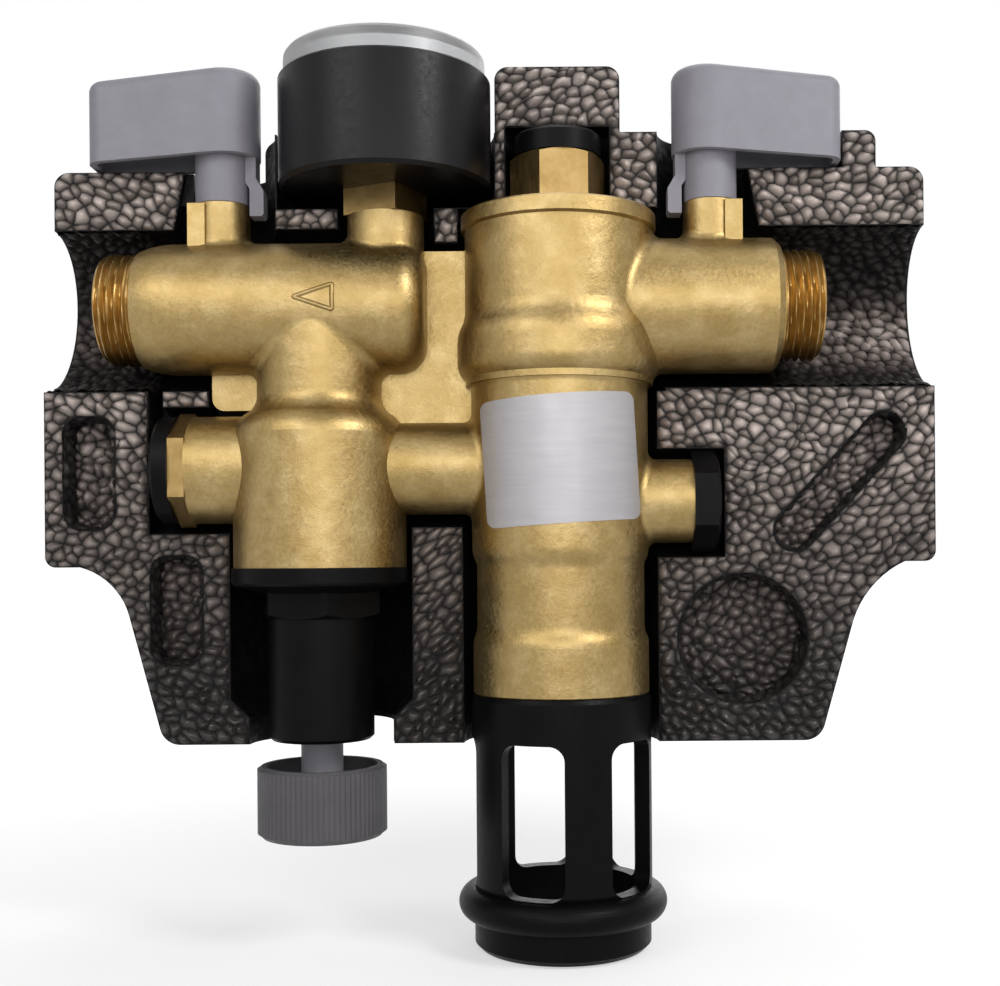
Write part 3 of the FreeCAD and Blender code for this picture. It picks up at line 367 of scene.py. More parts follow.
# clear window: clear over the dial, grey and frosted on its rim; the ramp runs on the distance from the gauge's axis
windowLook = {"clear": (240, 241, 242), "rim": (150, 150, 151), "clearTo": 0.94, "rimFrom": 0.985,
              "gloss": (0.06, 0.4)}


def clearWindow():
    look = windowLook
    f = Finish("clearWindow")
    flat = f.node("ShaderNodeVectorMath", operation="MULTIPLY_ADD")
    f.join(f.coordinates, flat.inputs[0])
    flat.inputs[1].default_value = (1, 1, 0)
    flat.inputs[2].default_value = (-gaugeX, 0, 0)
    away = f.node("ShaderNodeVectorMath", operation="LENGTH")
    f.join(flat.outputs["Vector"], away.inputs[0])
    share = f.math("DIVIDE", away.outputs["Value"], windowRadius)
    f.colour(f.ramp(share, (look["clearTo"], srgb(*look["clear"])), (look["rimFrom"], srgb(*look["rim"]))))
    f.roughness(f.ramp(share, (look["clearTo"], look["gloss"][0]), (look["rimFrom"], look["gloss"][1])))
    return f.put(Transmission_Weight=0.85, IOR=1.49).material


# silver foil: a faint drawn sheen across and a slight ripple
foilLook = {"dark": (156, 154, 156), "light": (166, 164, 166), "streak": 1.2, "pull": (0.1, 0.1, 1.0),
            "gloss": (0.4, 0.5), "ripple": 7.0, "rippleDepth": 0.1, "metal": 0.4}


def silverFoil():
    look = foilLook
    f = Finish("silverFoil")
    streak = f.noise(look["streak"], 3.0, 0.6, f.stretched(look["pull"]))
    f.colour(f.ramp(streak, (0.2, srgb(*look["dark"])), (0.8, srgb(*look["light"]))))
    f.roughness(f.between(f.noise(4.0), *look["gloss"]))
    f.bump((f.noise(look["ripple"], 2.0), look["rippleDepth"]))
    return f.put(Metallic=look["metal"]).material


finishes = {
    "cast_brass": castBrass(),
    "machined_brass": cutBrass("turnedBrass", turnedLook),
    "steel": plainFinish("springSteel", steelLook),
    "bead_foam": pocketFoam(),
    "black_plastic": mouldedPlastic("blackPlastic"),
    "grey_plastic": mouldedPlastic("greyPlastic"),
    "dark_grey_plastic": mouldedPlastic("shadedGreyPlastic"),
    "seal_white": mouldedPlastic("sealWhite"),
    "clear_window": clearWindow(),
    "dial_white": plainFinish("whiteEnamel", enamelLook),
    "silver_foil": silverFoil(),
}
for row in frame["record"]["subparts"]:
    wear(nodes[row["node"]], finishes[row["material_slot"]])
milledBrass = cutBrass("milledBrass", milledLook)
for nodeName in ("separator_top_plug", "left_port_plug", "gauge_socket"):
    wear(nodes[nodeName], milledBrass)
wear(nodes["gauge_case"], mouldedPlastic("gaugeBlack"))
beadFinishes = {name: beadFoam(name) for name in beadTones}
inkFinish = mouldedPlastic("dialInk")
print("finishes ready:", len(finishes) + len(beadFinishes), "and three of single pieces")


# Bead pattern. Seeds sit on a jittered grid; a point belongs to the seed that is nearest in the seed's own
# stretched and turned measure. With t = (second nearest - nearest) / (second nearest + nearest), which is one on
# the seed and nothing on the border, the height is the ellipse-like dome (1 - (1 - t)^2)^round times a rise, a lean
# and an unevenness of the bead's own. Neighbouring beads lie roughly the same way.
faceLook = {"pitch": (3.5, 2.35), "jitter": 0.7, "stretch": 1.8, "rise": 1.6, "round": 0.85, "lean": 0.42,
            "uneven": 0.6}
recessLook = {"pitch": (3.2, 2.4), "jitter": 0.8, "stretch": 1.9, "rise": 1.5, "round": 0.85, "lean": 0.42,
              "uneven": 0.5}
outerLook = {"pitch": (3.5, 2.5), "jitter": 0.75, "stretch": 1.5, "rise": 0.4, "round": 0.5, "lean": 0.08,
             "uneven": 0.08}
layLook = {"swayAcross": 5, "swayAcrossOver": 19, "swayUp": 6, "swayUpOver": 23, "swayUpFrom": 1, "lie": 0.35,
           "lieSpread": 1.6, "sizeLeast": 0.85, "sizeSpread": 0.3, "toneLeast": 0.45, "toneSpread": 0.55}
farAway = 1e9


def beadField(across, up, seed, look):
    lay = layLook
    across, up = (across + lay["swayAcross"] * np.sin(up / lay["swayAcrossOver"]),
                  up + lay["swayUp"] * np.sin(across / lay["swayUpOver"] + lay["swayUpFrom"]))  # rows that wander
    wide, tall = look["pitch"]
    reach = 2  # beads looked at on each side
    column = np.floor(across / wide).astype(int)
    row = np.floor(up / tall).astype(int)
    column0, row0 = column.min() - reach - 1, row.min() - reach - 1
    random = np.random.default_rng(seed)
    shape = (row.max() - row0 + reach + 2, column.max() - column0 + reach + 2)
    draws = random.random((8, *shape))
    shift = 0.25 + 0.5 * (np.arange(shape[0])[:, None] % 2)  # every other row sits half a bead along
    seedAcross = (np.arange(shape[1])[None, :] + column0 + shift + (draws[0] - 0.5) * look["jitter"]) * wide
    seedUp = (np.arange(shape[0])[:, None] + row0 + 0.5 + (draws[1] - 0.5) * look["jitter"]) * tall
    angle = lay["lie"] + (draws[2] - 0.5) * lay["lieSpread"]
    stretch = 1 + (look["stretch"] - 1) * draws[3]
    size = lay["sizeLeast"] + lay["sizeSpread"] * draws[4]
    nearest = np.full(across.shape, farAway)
    second = np.full(across.shape, farAway)
    own = np.zeros((3, *across.shape))  # lean, unevenness and tone of the nearest bead
    for rowStep in range(-reach, reach + 1):
        for columnStep in range(-reach, reach + 1):
            r = row - row0 + rowStep
            c = column - column0 + columnStep
            dx = across - seedAcross[r, c]
            dz = up - seedUp[r, c]
            cosine, sine = np.cos(angle[r, c]), np.sin(angle[r, c])
            along = (dx * cosine + dz * sine) / np.sqrt(stretch[r, c])
            beside = (dz * cosine - dx * sine) * np.sqrt(stretch[r, c])
            distance = np.hypot(along, beside) / size[r, c]
            closer = distance < nearest
            second = np.where(closer, nearest, np.minimum(second, distance))
            lean = (draws[5][r, c] - 0.5) * dx + (draws[6][r, c] - 0.5) * dz
            own = np.where(closer, np.stack([lean, draws[7][r, c], draws[4][r, c]]), own)
            nearest = np.where(closer, distance, nearest)
    edge = (second - nearest) / (second + nearest)
    dome = (1 - (1 - edge) ** 2) ** look["round"]
    height = dome * (look["rise"] + 2 * look["lean"] * own[0] + look["uneven"] * (own[1] - 0.5))
    return height, edge, lay["toneLeast"] + lay["toneSpread"] * own[2]


# the rim of a flat face of the shell that looks along Y: edges that only one of the face's triangles has
def faceRim(level):
    mesh = nodes["rear_insulation_shell"].data
    points = np.zeros(len(mesh.vertices) * 3)
    mesh.vertices.foreach_get("co", points)
    points = points.reshape(-1, 3) / mm
    mesh.calc_loop_triangles()
    triangles = np.zeros(len(mesh.loop_triangles) * 3, int)
    mesh.loop_triangles.foreach_get("vertices", triangles)
    triangles = triangles.reshape(-1, 3)
    flat = np.all(np.abs(points[triangles][:, :, 1] - level) < 0.002, axis=1)
    places, same = np.unique(np.round(points, 3), axis=0, return_inverse=True)
    corners = same.reshape(-1)[triangles[flat]]
    edges = np.sort(np.vstack([corners[:, [0, 1]], corners[:, [1, 2]], corners[:, [2, 0]]]), axis=1)
    edges, count = np.unique(edges, axis=0, return_counts=True)
    return places[edges[count == 1]][:, :, [0, 2]]


# distance from each point to the rim, positive inside the face: least distance to a segment, and the even-odd rule
def insideDistance(across, up, rim):
    least = np.full(across.shape, farAway)
    inside = np.zeros(across.shape, bool)
    for (x0, z0), (x1, z1) in rim:
        dx, dz = x1 - x0, z1 - z0
        share = np.clip(((across - x0) * dx + (up - z0) * dz) / max(dx * dx + dz * dz, 1e-12), 0, 1)
        least = np.minimum(least, np.hypot(across - x0 - share * dx, up - z0 - share * dz))
        if z0 != z1:
            crosses = (z0 > up) != (z1 > up)
            inside ^= crosses & (across < x0 + (up - z0) * dx / dz)
    return np.where(inside, least, -least)


# a bead skin: points, tones and finish in one object that rides with the block
def beadSkin(name, points, faces, tone, edge, finish):
    skin = meshFromArrays(name, points * mm, faces)
    setAttribute(skin, "beadTone", tone)
    # the edge values carry the painted shade: low in the gaps between beads and along each skin's rim
    setAttribute(skin, "beadEdgeShade", edge)
    wear(skin, finish)
    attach(skin, "block")
    print(name, len(faces) * 2, "triangles")


# A bead skin on a flat face: a height field over the face that sinks into it near the rim. The mould mark is a fine
# ring pressed into it, with lower beads inside. Lower down the tone falls evenly from one height to another: painted
# shade, darker towards the bottom.
socketDepth = 8.0
skinLook = {
    "parting_face_beads": {"level": 0.0, "outward": -1, "step": 0.31, "seed": 11, "beads": faceLook,
                           "finish": "faceBeads", "marked": True, "paintedShadeFrom": -30.0, "paintedShadeTo": -94.0},
    "socket_floor_beads": {"level": socketDepth, "outward": -1, "step": 0.36, "seed": 12, "beads": recessLook,
                           "finish": "recessBeads", "marked": False, "paintedShadeFrom": -32.0, "paintedShadeTo": -108.0},
    "back_face_beads": {"level": shellBack, "outward": 1, "step": 0.8, "seed": 13, "beads": outerLook,
                        "finish": "outerBeads", "marked": False, "paintedShadeFrom": None, "paintedShadeTo": None},
}
rimLook = {"sink": 0.5, "stand": 0.1, "fade": 1.9, "keep": 0.02, "paintedShadeLeast": 0.08}
markLook = {"x": separatorLine + 48.1, "z": -29.3, "radius": 8.9, "line": 0.32, "inside": 0.75, "press": 0.8,
            "paintedRingShade": 0.7}


def faceSkin(name, look):
    rim = faceRim(look["level"])
    low = rim.reshape(-1, 2).min(0)
    high = rim.reshape(-1, 2).max(0)
    counts = np.ceil((high - low) / look["step"]).astype(int) + 1
    across, up = np.meshgrid(np.linspace(low[0], high[0], counts[0]), np.linspace(low[1], high[1], counts[1]))
    depth = insideDistance(across, up, rim)
    height, edge, tone = beadField(across, up, look["seed"], look["beads"])
    if look["marked"]:
        away = np.hypot(across - markLook["x"], up - markLook["z"]) - markLook["radius"]
        ring = np.exp(-(away / markLook["line"]) ** 2)
        height = height * np.where(away < 0, markLook["inside"], 1.0) * (1 - markLook["press"] * ring)
        # painted shade in the pressed ring: its line takes the dark gap tone
        edge = edge * (1 - markLook["paintedRingShade"] * ring)
    # painted shade: the bead tone falls evenly towards the bottom of the face
    if look["paintedShadeFrom"]:
        fall = (up - look["paintedShadeTo"]) / (look["paintedShadeFrom"] - look["paintedShadeTo"])
        tone = tone * np.clip(fall, rimLook["paintedShadeLeast"], 1)
    cover = roundedRim(depth, rimLook["fade"])
    height = (height + rimLook["sink"] + rimLook["stand"]) * cover - rimLook["sink"]
    faces = gridFaces(*across.shape)
    if look["outward"] > 0:
        faces = faces[:, ::-1]
    kept = faces[np.all(depth.ravel()[faces] > rimLook["keep"], axis=1)]
    used, renumbered = np.unique(kept, return_inverse=True)
    points = np.stack([across.ravel(), up.ravel()], axis=1)[used]
    points = np.insert(points, 1, look["level"] + look["outward"] * height.ravel()[used], axis=1)
    beadSkin(name, points, renumbered.reshape(-1, 4), tone.ravel()[used], (edge * cover).ravel()[used],
             beadFinishes[look["finish"]])


for name, look in skinLook.items():
    faceSkin(name, look)


# Beads on the wall of a socket: the outline is a rounded rectangle, turned and moved, walked at even steps; the bead
# height lies across the wall towards the middle and sinks at the mouth and at the floor. The walls wear a near-black
# copy of the bead foam: painted shade.
socketLook = {
    "round_socket_beads": {"x": 43.6, "z": -79.6, "half": (15.6, 15.6), "corner": 15.55, "turn": 0.0, "seed": 31},
    "slanting_slot_beads": {"x": 67.1, "z": -42.15, "half": (20.99, 5.1), "corner": 5.05,
                            "turn": math.atan2(23.3, 21.6), "seed": 32},
    "left_slot_beads": {"x": -112.95, "z": -38.85, "half": (6.25, 13.65), "corner": 4.5, "turn": 0.0, "seed": 33},
    "lower_slot_beads": {"x": -92.15, "z": -71.9, "half": (6.35, 13.2), "corner": 4.5, "turn": 0.0, "seed": 34},
}
wallLook = {"bendSteps": 12, "step": 0.5, "depthSteps": 17, "margin": 0.1, "fade": 1.4, "seamFade": 2.0,
            "seamLeast": 0.3, "share": 0.8, "stand": 0.45, "sink": 0.4}


def socketWall(name, look):
    wall = wallLook
    halfX, halfZ = look["half"]
    corner = look["corner"]
    arc = np.linspace(0, math.pi / 2, wall["bendSteps"])
    quarters = [(1, 1), (-1, 1), (-1, -1), (1, -1)]
    bends = [np.stack([sx * (halfX - corner) + corner * np.cos(arc + k * math.pi / 2),
                       sz * (halfZ - corner) + corner * np.sin(arc + k * math.pi / 2)], axis=1)
             for k, (sx, sz) in enumerate(quarters)]
    ends = np.vstack(bends + [bends[0][:1]])
    run = runAlong(ends)
    count = int(run[-1] / wall["step"])
    place = np.linspace(0, run[-1], count, endpoint=False)
    line = evenSteps(ends, run, place)
    inward = leftOf(line)
    depth = np.linspace(wall["margin"], socketDepth - wall["margin"], wall["depthSteps"])
    d, s = np.meshgrid(depth, place)
    height, edge, tone = beadField(s, d, look["seed"], recessLook)
    cover = roundedRim(np.minimum(d, socketDepth - d), wall["fade"])
    cover *= np.clip(np.minimum(s, run[-1] - s) / wall["seamFade"], wall["seamLeast"], 1)
    lift = (wall["share"] * height + wall["stand"]) * cover - wall["sink"]
    flat = line[:, None, :] + inward[:, None, :] * lift[:, :, None]
    cosine, sine = math.cos(look["turn"]), math.sin(look["turn"])
    x = separatorLine + look["x"] + flat[:, :, 0] * cosine - flat[:, :, 1] * sine
    z = look["z"] + flat[:, :, 0] * sine + flat[:, :, 1] * cosine
    points = np.stack([x, d, z], axis=2).reshape(-1, 3)
    faces = gridFaces(count, len(depth), True)
    beadSkin(name, points, faces, tone.ravel(), (edge * cover).ravel(), beadFinishes["shadedWallBeads"])


for name, look in socketLook.items():
    socketWall(name, look)


# A bead skin in a pipe trough: distance along the pipe and angle round it give the place, the bead height lies
# inwards, and both ends and both lips sink into the wall. Painted light and shade: the beads are lit in a band at the
# back of the trough and darken away from it, the tone being a bell curve of the angle; the outlet trough is dimmer.
troughLook = {"radius": 19.3, "step": 0.5, "lip": 0.02, "litBandAngle": 1.85, "litBandWidth": 0.4, "troughShadeLeast": 0.06,
              "fade": 1.2, "share": 0.75, "stand": 0.4, "sink": 0.35, "behindThread": 10.0}
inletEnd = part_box("inlet_end_connector")[1].x / mm
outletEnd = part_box("outlet_end_connector")[0].x / mm
troughRuns = {
    "inlet_trough_beads": {"start": inletEnd - troughLook["behindThread"], "endTop": separatorLine + 87.6,
                           "endBottom": separatorLine + 89.9, "lit": 1.2, "seed": 21},
    "outlet_trough_beads": {"start": outletEnd + troughLook["behindThread"], "endTop": separatorLine - 120.6,
                            "endBottom": separatorLine - 123.5, "lit": 0.4, "seed": 22},
}


def troughSkin(name, look):
    trough = troughLook
    radius, start, endTop = trough["radius"], look["start"], look["endTop"]
    lengthSteps = int(abs(endTop - start) / trough["step"])
    turnSteps = int(math.pi * radius / trough["step"])
    share, angle = np.meshgrid(np.linspace(0, 1, lengthSteps),
                               np.linspace(trough["lip"], math.pi - trough["lip"], turnSteps))
    end = endTop + (look["endBottom"] - endTop) * (1 - np.cos(angle)) / 2
    x = start + (end - start) * share
    height, edge, tone = beadField(x, angle * radius, look["seed"], recessLook)
    # painted light on a band across the trough, painted shade on either side of it
    band = np.exp(-((angle - trough["litBandAngle"]) / trough["litBandWidth"]) ** 2)
    tone = tone * np.clip(look["lit"] * band, trough["troughShadeLeast"], 1)
    fromEnds = np.minimum(share, 1 - share) * np.abs(end - start)
    fromLips = np.minimum(angle, math.pi - angle) * radius
    cover = roundedRim(np.minimum(fromEnds, fromLips), trough["fade"])
    inner = radius - (trough["share"] * height + trough["stand"]) * cover + trough["sink"]
    points = np.stack([x, inner * np.sin(angle), inner * np.cos(angle)], axis=2).reshape(-1, 3)
    faces = gridFaces(turnSteps, lengthSteps)
    if endTop < start:
        faces = faces[:, ::-1]
    beadSkin(name, points, faces, tone.ravel(), (edge * cover).ravel(), beadFinishes["troughBeads"])


for name, look in troughRuns.items():
    troughSkin(name, look)


# Union threads. The connector is a profile turned about the pipe line; on the thread the radius also falls and
# rises as a clipped triangle wave of (distance / pitch + turn), so the ridges run as one helix.
threadLook = {"pitch": 1.814, "depth": 1.16, "leadIn": 1.1, "runOut": 1.2, "crestFlat": 0.08, "flank": 0.84,
              "turnSteps": 128, "waveSteps": 9, "bore": 7.5, "seatBore": 9.5, "seatDepth": 1.5, "boreFrom": 3.0,
              "spigot": 11.4, "sharpFrom": 40}


def threadedConnector(nodeName, faceX, outward, threadLength):
    look = threadLook
    low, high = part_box(nodeName)
    length = (high.x - low.x) / mm
    crest = (high.z - low.z) / 2 / mm
    steps = int(threadLength / look["pitch"] * look["waveSteps"])
    ridge = np.linspace(threadLength, 0, steps)
    profile = [(length, look["bore"], 0), (length, look["spigot"], 0), (threadLength + 0.01, look["spigot"], 0)]
    profile += [(distance, crest, 1) for distance in ridge]
    profile += [(0, look["seatBore"], 0), (look["seatDepth"], look["seatBore"], 0),
                (look["boreFrom"], look["bore"], 0)]
    distance, radius, onThread = np.array(profile).T
    turn = np.linspace(0, 1, look["turnSteps"], endpoint=False)
    wave = np.abs(((distance[:, None] / look["pitch"] + turn[None, :]) % 1) * 2 - 1)
    cut = look["depth"] * np.clip((wave - look["crestFlat"]) / look["flank"], 0, 1)
    chamfer = np.maximum(0, look["leadIn"] - distance)[:, None]
    runOut = np.clip((threadLength - distance) / look["runOut"], 0, 1)[:, None]
    rings = radius[:, None] - onThread[:, None] * np.maximum(cut * runOut, np.minimum(chamfer, look["leadIn"]))
    angle = turn * 2 * math.pi
    x = np.repeat((faceX / mm - outward * distance)[:, None], len(turn), axis=1)
    points = np.stack([x, rings * np.cos(angle), rings * np.sin(angle)], axis=2).reshape(-1, 3) * mm
    faces = gridFaces(len(distance), len(turn), True, True)
    piece = meshFromArrays(nodeName + "_thread", points, faces if outward > 0 else faces[:, ::-1])
    piece.data.set_sharp_from_angle(angle=math.radians(look["sharpFrom"]))
    wear(piece, finishes["machined_brass"])
    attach(piece, "block")
    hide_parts(nodeName)


threadedConnector("inlet_end_connector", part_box("inlet_end_connector")[1].x, 1, 9.8)
threadedConnector("outlet_end_connector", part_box("outlet_end_connector")[0].x, -1, 8.8)
print("threads cut")


# Springs. The wire's middle line turns evenly round the axis while its height eases at both ends, by
# height = share - ease * sin(2 pi share) / (2 pi). A ring of eight points is carried along it, and each end is
# closed. The setting spring is pressed from both ends, so it is in two runs.
coilLook = {"ease": 0.6, "ringSteps": 8, "turnSteps": 28}
springLook = {
    "inlet_check_coil": {"node": "inlet_check_spring", "along": 2, "wire": 0.9, "turns": 4, "run": (0.0, 1.0),
                         "joint": "inlet_check_lift", "travel": 5.0, "fixedEnd": 0},
    "outlet_check_coil": {"node": "outlet_check_spring", "along": 0, "wire": 0.8, "turns": 3, "run": (0.0, 1.0),
                          "joint": "outlet_check_lift", "travel": 4.0, "fixedEnd": 0},
    "setting_coil_lower": {"node": "setting_spring", "along": 2, "wire": 2.0, "turns": 5, "run": (0.0, 0.7),
                           "joint": "spring_plate_climb", "travel": 7.5, "fixedEnd": 1},
    "setting_coil_upper": {"node": "setting_spring", "along": 2, "wire": 2.0, "turns": 5, "run": (0.7, 1.0),
                           "joint": "reducer_valve_travel", "travel": 1.9, "fixedEnd": 0},
}


def coilSpring(name, look):
    low, high = (np.array(corner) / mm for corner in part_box(look["node"]))
    along = look["along"]
    first, second = [a for a in range(3) if a != along]
    half = look["wire"] / 2
    radius = (high - low)[first] / 2 - half
    start, end = look["run"]
    ringSteps = coilLook["ringSteps"]
    rows = int((end - start) * look["turns"] * coilLook["turnSteps"])
    share = np.linspace(start, end, rows)
    height = share - coilLook["ease"] * np.sin(share * 2 * math.pi) / (2 * math.pi)
    level = low[along] + half + height * (high[along] - low[along] - look["wire"])
    turn = (share * look["turns"] * 2 * math.pi)[:, None]
    ring = np.linspace(0, 2 * math.pi, ringSteps, endpoint=False)[None, :]
    points = np.zeros((rows, ringSteps, 3))
    points[:, :, first] = (low + high)[first] / 2 + (radius + half * np.cos(ring)) * np.cos(turn)
    points[:, :, second] = (low + high)[second] / 2 + (radius + half * np.cos(ring)) * np.sin(turn)
    points[:, :, along] = level[:, None] + half * np.sin(ring)
    endCap = np.array([[0, 1, 2, 7], [7, 2, 3, 6], [6, 3, 4, 5]])  # closes a ring of eight
    sides = gridFaces(rows, ringSteps, False, True)[:, ::-1]
    faces = np.vstack([sides, endCap, endCap[:, ::-1] + (rows - 1) * ringSteps])
    piece = meshFromArrays(name, points.reshape(-1, 3) * mm, faces)
    wear(piece, finishes["steel"])
    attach(piece, "block")
    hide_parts(look["node"])
    ends = (level[0] - half if start == 0 else level[0], level[-1] + half if end == 1 else level[-1])
    axis, anchor = np.zeros(3), (low + high) / 2
    axis[along] = 1
    anchor[along] = ends[look["fixedEnd"]]
    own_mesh(piece)


for name, look in springLook.items():
    coilSpring(name, look)
print("springs wound:", len(springLook))


# Flow mark. A rounded ridge follows a triangle whose corners are worn round, wrapped on the outlet barrel: the
# height is a half cosine across the line, and up on the flat drawing is distance round the barrel.
flowLook = {"tipX": -60.9, "backX": -52.0, "middleZ": 0.2, "half": 3.0, "width": 1.2, "rise": 0.5, "sink": 0.06,
            "barrel": 15.5, "steps": 160, "acrossSteps": 9, "smoothings": 6}


def flowMark():
    look = flowLook
    corners = np.array([[look["tipX"], look["middleZ"]], [look["backX"], look["middleZ"] + look["half"]],
                        [look["backX"], look["middleZ"] - look["half"]]])
    ends = np.vstack([corners, corners[:1]])
    run = runAlong(ends)
    line = evenSteps(ends, run, np.linspace(0, run[-1], look["steps"], endpoint=False))
    for smoothing in range(look["smoothings"]):
        line = (np.roll(line, 1, 0) + 2 * line + np.roll(line, -1, 0)) / 4
    across = np.linspace(-1, 1, look["acrossSteps"])
    flat = line[:, None, :] + leftOf(line)[:, None, :] * across[None, :, None] * look["width"] / 2
    radius = look["barrel"] + look["rise"] * np.cos(across * math.pi / 2)[None, :] - look["sink"]
    angle = flat[:, :, 1] / look["barrel"]
    x = flat[:, :, 0] + separatorLine
    points = np.stack([x, -radius * np.cos(angle), radius * np.sin(angle)], axis=2).reshape(-1, 3) * mm
    ridge = meshFromArrays("flow_mark", points, gridFaces(look["steps"], look["acrossSteps"], True))
    wear(ridge, finishes["cast_brass"])
    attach(ridge, "block")


flowMark()


# Dial print: ticks are small rectangles at equal turns, the numbers stand upright to the reader
dialLook = {"start": 225.0, "sweep": 270.0, "parts": 40, "each": 10, "outer": 21.0, "long": 4.2, "short": 2.2,
            "thick": 0.9, "thin": 0.4, "numberRadius": 14.2, "numberSize": 5.0, "lift": 0.04}


def dialPrint():
    look = dialLook
    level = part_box("gauge_dial")[1].z / mm + look["lift"]
    steps = np.arange(look["parts"] + 1)
    turn = np.radians(look["start"] - look["sweep"] * steps / look["parts"])
    main = steps % look["each"] == 0
    inner = look["outer"] - np.where(main, look["long"], look["short"])
    half = np.where(main, look["thick"], look["thin"]) / 2
    out = np.stack([np.cos(turn), np.sin(turn)], axis=1)
    side = np.stack([-out[:, 1], out[:, 0]], axis=1)
    corners = [out * inner[:, None] - side * half[:, None], out * look["outer"] - side * half[:, None],
               out * look["outer"] + side * half[:, None], out * inner[:, None] + side * half[:, None]]
    flat = np.stack(corners, axis=1).reshape(-1, 2) + np.array([gaugeX / mm, 0])
    points = np.column_stack([flat, np.full(len(flat), level)]) * mm
    ticks = meshFromArrays("dial_ticks", points, np.arange(len(points)).reshape(-1, 4), False)
    pieces = [ticks]
    for number in range(look["parts"] // look["each"] + 1):
        writing = bpy.data.curves.new("dialNumber", "FONT")
        writing.body = str(number)
        writing.size = look["numberSize"] * mm
        writing.align_x, writing.align_y = "CENTER", "CENTER"
        draft = bpy.data.objects.new("dialNumber", writing)
        scene.collection.objects.link(draft)
        bpy.context.view_layer.update()
        mesh = bpy.data.meshes.new_from_object(draft)
        bpy.data.objects.remove(draft)
        angle = math.radians(look["start"] - look["sweep"] * number * look["each"] / look["parts"])
        x = gaugeX / mm + look["numberRadius"] * math.cos(angle)
        place = Vector((x, look["numberRadius"] * math.sin(angle), level))
        mesh.transform(Matrix.Translation(place * mm))
        digit = bpy.data.objects.new("dial_number_%d" % number, mesh)
        scene.collection.objects.link(digit)
        pieces.append(digit)
    for piece in pieces:
        wear(piece, inkFinish)
        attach(piece, "block")


dialPrint()
print("marks drawn")


# Floor, light and camera
def whiteToCamera(tree):  # one for rays from the eye, from gloss and through glass
    path = tree.nodes.new("ShaderNodeLightPath")
    seen = path.outputs["Is Camera Ray"]
    for name in ("Is Glossy Ray", "Is Transmission Ray"):
        both = tree.nodes.new("ShaderNodeMath")
        both.operation = "MAXIMUM"
        tree.links.new(seen, both.inputs[0])
        tree.links.new(path.outputs[name], both.inputs[1])
        seen = both.outputs[0]
    return seen


# The floor is a flat grid, white to the eye. Round the object about half of it is lit paint, so the shadow stays; the
# share of white rises evenly from near to far.
floorLook = {"size": 6.0, "lines": 5, "gap": 0.0005, "tones": (0.90, 0.94), "blotch": 400.0, "shadowShare": 0.45,
             "near": 0.12, "far": 0.4, "glow": 1.15}


def makeFloor():
    look = floorLook
    half = look["size"] / 2
    line = np.linspace(-half, half, look["lines"])
    x, y = np.meshgrid(line, line)
    points = np.stack([x.ravel(), y.ravel(), np.full(x.size, cadBox[0].z - look["gap"])], axis=1)
    floor = meshFromArrays("studio_floor", points, gridFaces(look["lines"], look["lines"]))
    f = Finish("studioFloor")
    f.colour(f.between(f.noise(look["blotch"]), *look["tones"])).put(Roughness=0.9)
    glow = f.node("ShaderNodeEmission")
    glow.inputs["Strength"].default_value = look["glow"]
    apart = f.node("ShaderNodeVectorMath", operation="DISTANCE")
    f.join(f.coordinates, apart.inputs[0])
    apart.inputs[1].default_value = (separatorX, 0, cadBox[0].z)
    share = f.node("ShaderNodeMapRange")
    for value, place in zip((look["near"], look["far"], look["shadowShare"], 1.0), range(1, 5)):
        share.inputs[place].default_value = value
    f.join(apart.outputs["Value"], share.inputs[0])
    mix = f.node("ShaderNodeMixShader")
    f.join(f.math("MULTIPLY", whiteToCamera(f.tree), share.outputs[0]), mix.inputs["Fac"])
    f.join(f.shader.outputs[0], mix.inputs[1])
    f.join(glow.outputs[0], mix.inputs[2])
    f.join(mix.outputs[0], f.tree.nodes["Material Output"].inputs["Surface"])
    wear(floor, f.material)


worldLook = {"dim": 0.15, "white": 1.0}


def makeWorld():
    world = bpy.data.worlds.new("studio")
    scene.world = world
    world.use_nodes = True
    tree = world.node_tree
    dim = tree.nodes["Background"]
    white = tree.nodes.new("ShaderNodeBackground")
    for light, strength in ((dim, worldLook["dim"]), (white, worldLook["white"])):
        light.inputs["Color"].default_value = (1, 1, 1, 1)
        light.inputs["Strength"].default_value = strength
    mix = tree.nodes.new("ShaderNodeMixShader")
    tree.links.new(whiteToCamera(tree), mix.inputs["Fac"])
    tree.links.new(dim.outputs[0], mix.inputs[1])
    tree.links.new(white.outputs[0], mix.inputs[2])
    tree.links.new(mix.outputs[0], tree.nodes["World Output"].inputs["Surface"])


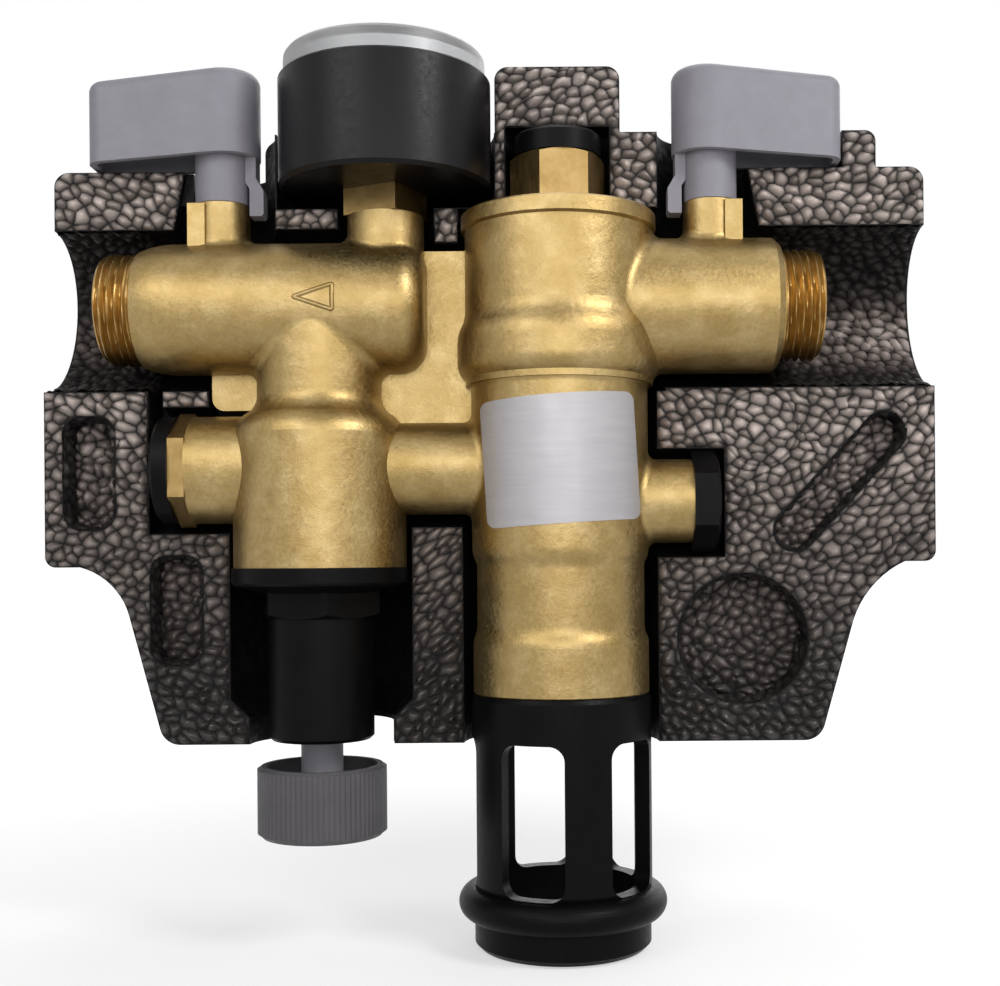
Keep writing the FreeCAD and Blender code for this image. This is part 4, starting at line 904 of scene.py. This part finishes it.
# lamps: place in metres, width and height, power in watts
lampAim = (separatorX, 0, -0.03)
lampLook = {
    "keyLamp": {"place": (0.23, -0.27, 0.25), "size": (0.18, 0.16), "power": 1.3},
    "frontLamp": {"place": (-0.04, -0.42, 0.05), "size": (0.36, 0.2), "power": 0.7},
    "fillLamp": {"place": (-0.30, -0.30, 0.17), "size": (0.24, 0.18), "power": 0.5},
    "topLamp": {"place": (-0.05, 0.25, 0.8), "size": (0.6, 0.6), "power": 2.0},
    "backLamp": {"place": (0.25, 0.6, 0.3), "size": (1.0, 0.8), "power": 3.5},
}


def areaLamp(name, look):
    lamp = bpy.data.lights.new(name, "AREA")
    lamp.shape = "RECTANGLE"
    lamp.size, lamp.size_y = look["size"]
    lamp.energy = look["power"]
    holder = bpy.data.objects.new(name, lamp)
    holder.location = look["place"]
    holder.rotation_euler = (Vector(lampAim) - Vector(look["place"])).to_track_quat("-Z", "Y").to_euler()
    scene.collection.objects.link(holder)


makeFloor()
makeWorld()
for name, look in lampLook.items():
    areaLamp(name, look)

# the photo's view: the camera looks straight along Y, and the shift brings the vanishing point to its pixel
cameraLook = {"distance": 324.0, "millimetresPerPixel": 0.24, "centreX": 545.0, "centreY": 560.0, "roll": 0.45,
              "originX": 560.5, "originY": 308.0, "width": 1000, "middleX": 500.0, "middleY": 493.0, "sensor": 36.0}


def makeCamera():
    look = cameraLook
    scale = look["millimetresPerPixel"]
    data = bpy.data.cameras.new("photoCamera")
    data.sensor_width = look["sensor"]
    data.lens = look["sensor"] * look["distance"] / (scale * look["width"])
    data.shift_x = (look["middleX"] - look["centreX"]) / look["width"]
    data.shift_y = (look["centreY"] - look["middleY"]) / look["width"]
    data.clip_start = 0.01
    camera = bpy.data.objects.new("photoCamera", data)
    x = separatorLine + (look["centreX"] - look["originX"]) * scale
    z = (look["originY"] - look["centreY"]) * scale
    camera.location = Vector((x, -look["distance"], z)) * mm
    camera.rotation_euler = (math.radians(90), math.radians(look["roll"]), 0)
    scene.collection.objects.link(camera)
    scene.camera = camera


makeCamera()
print("stage set")
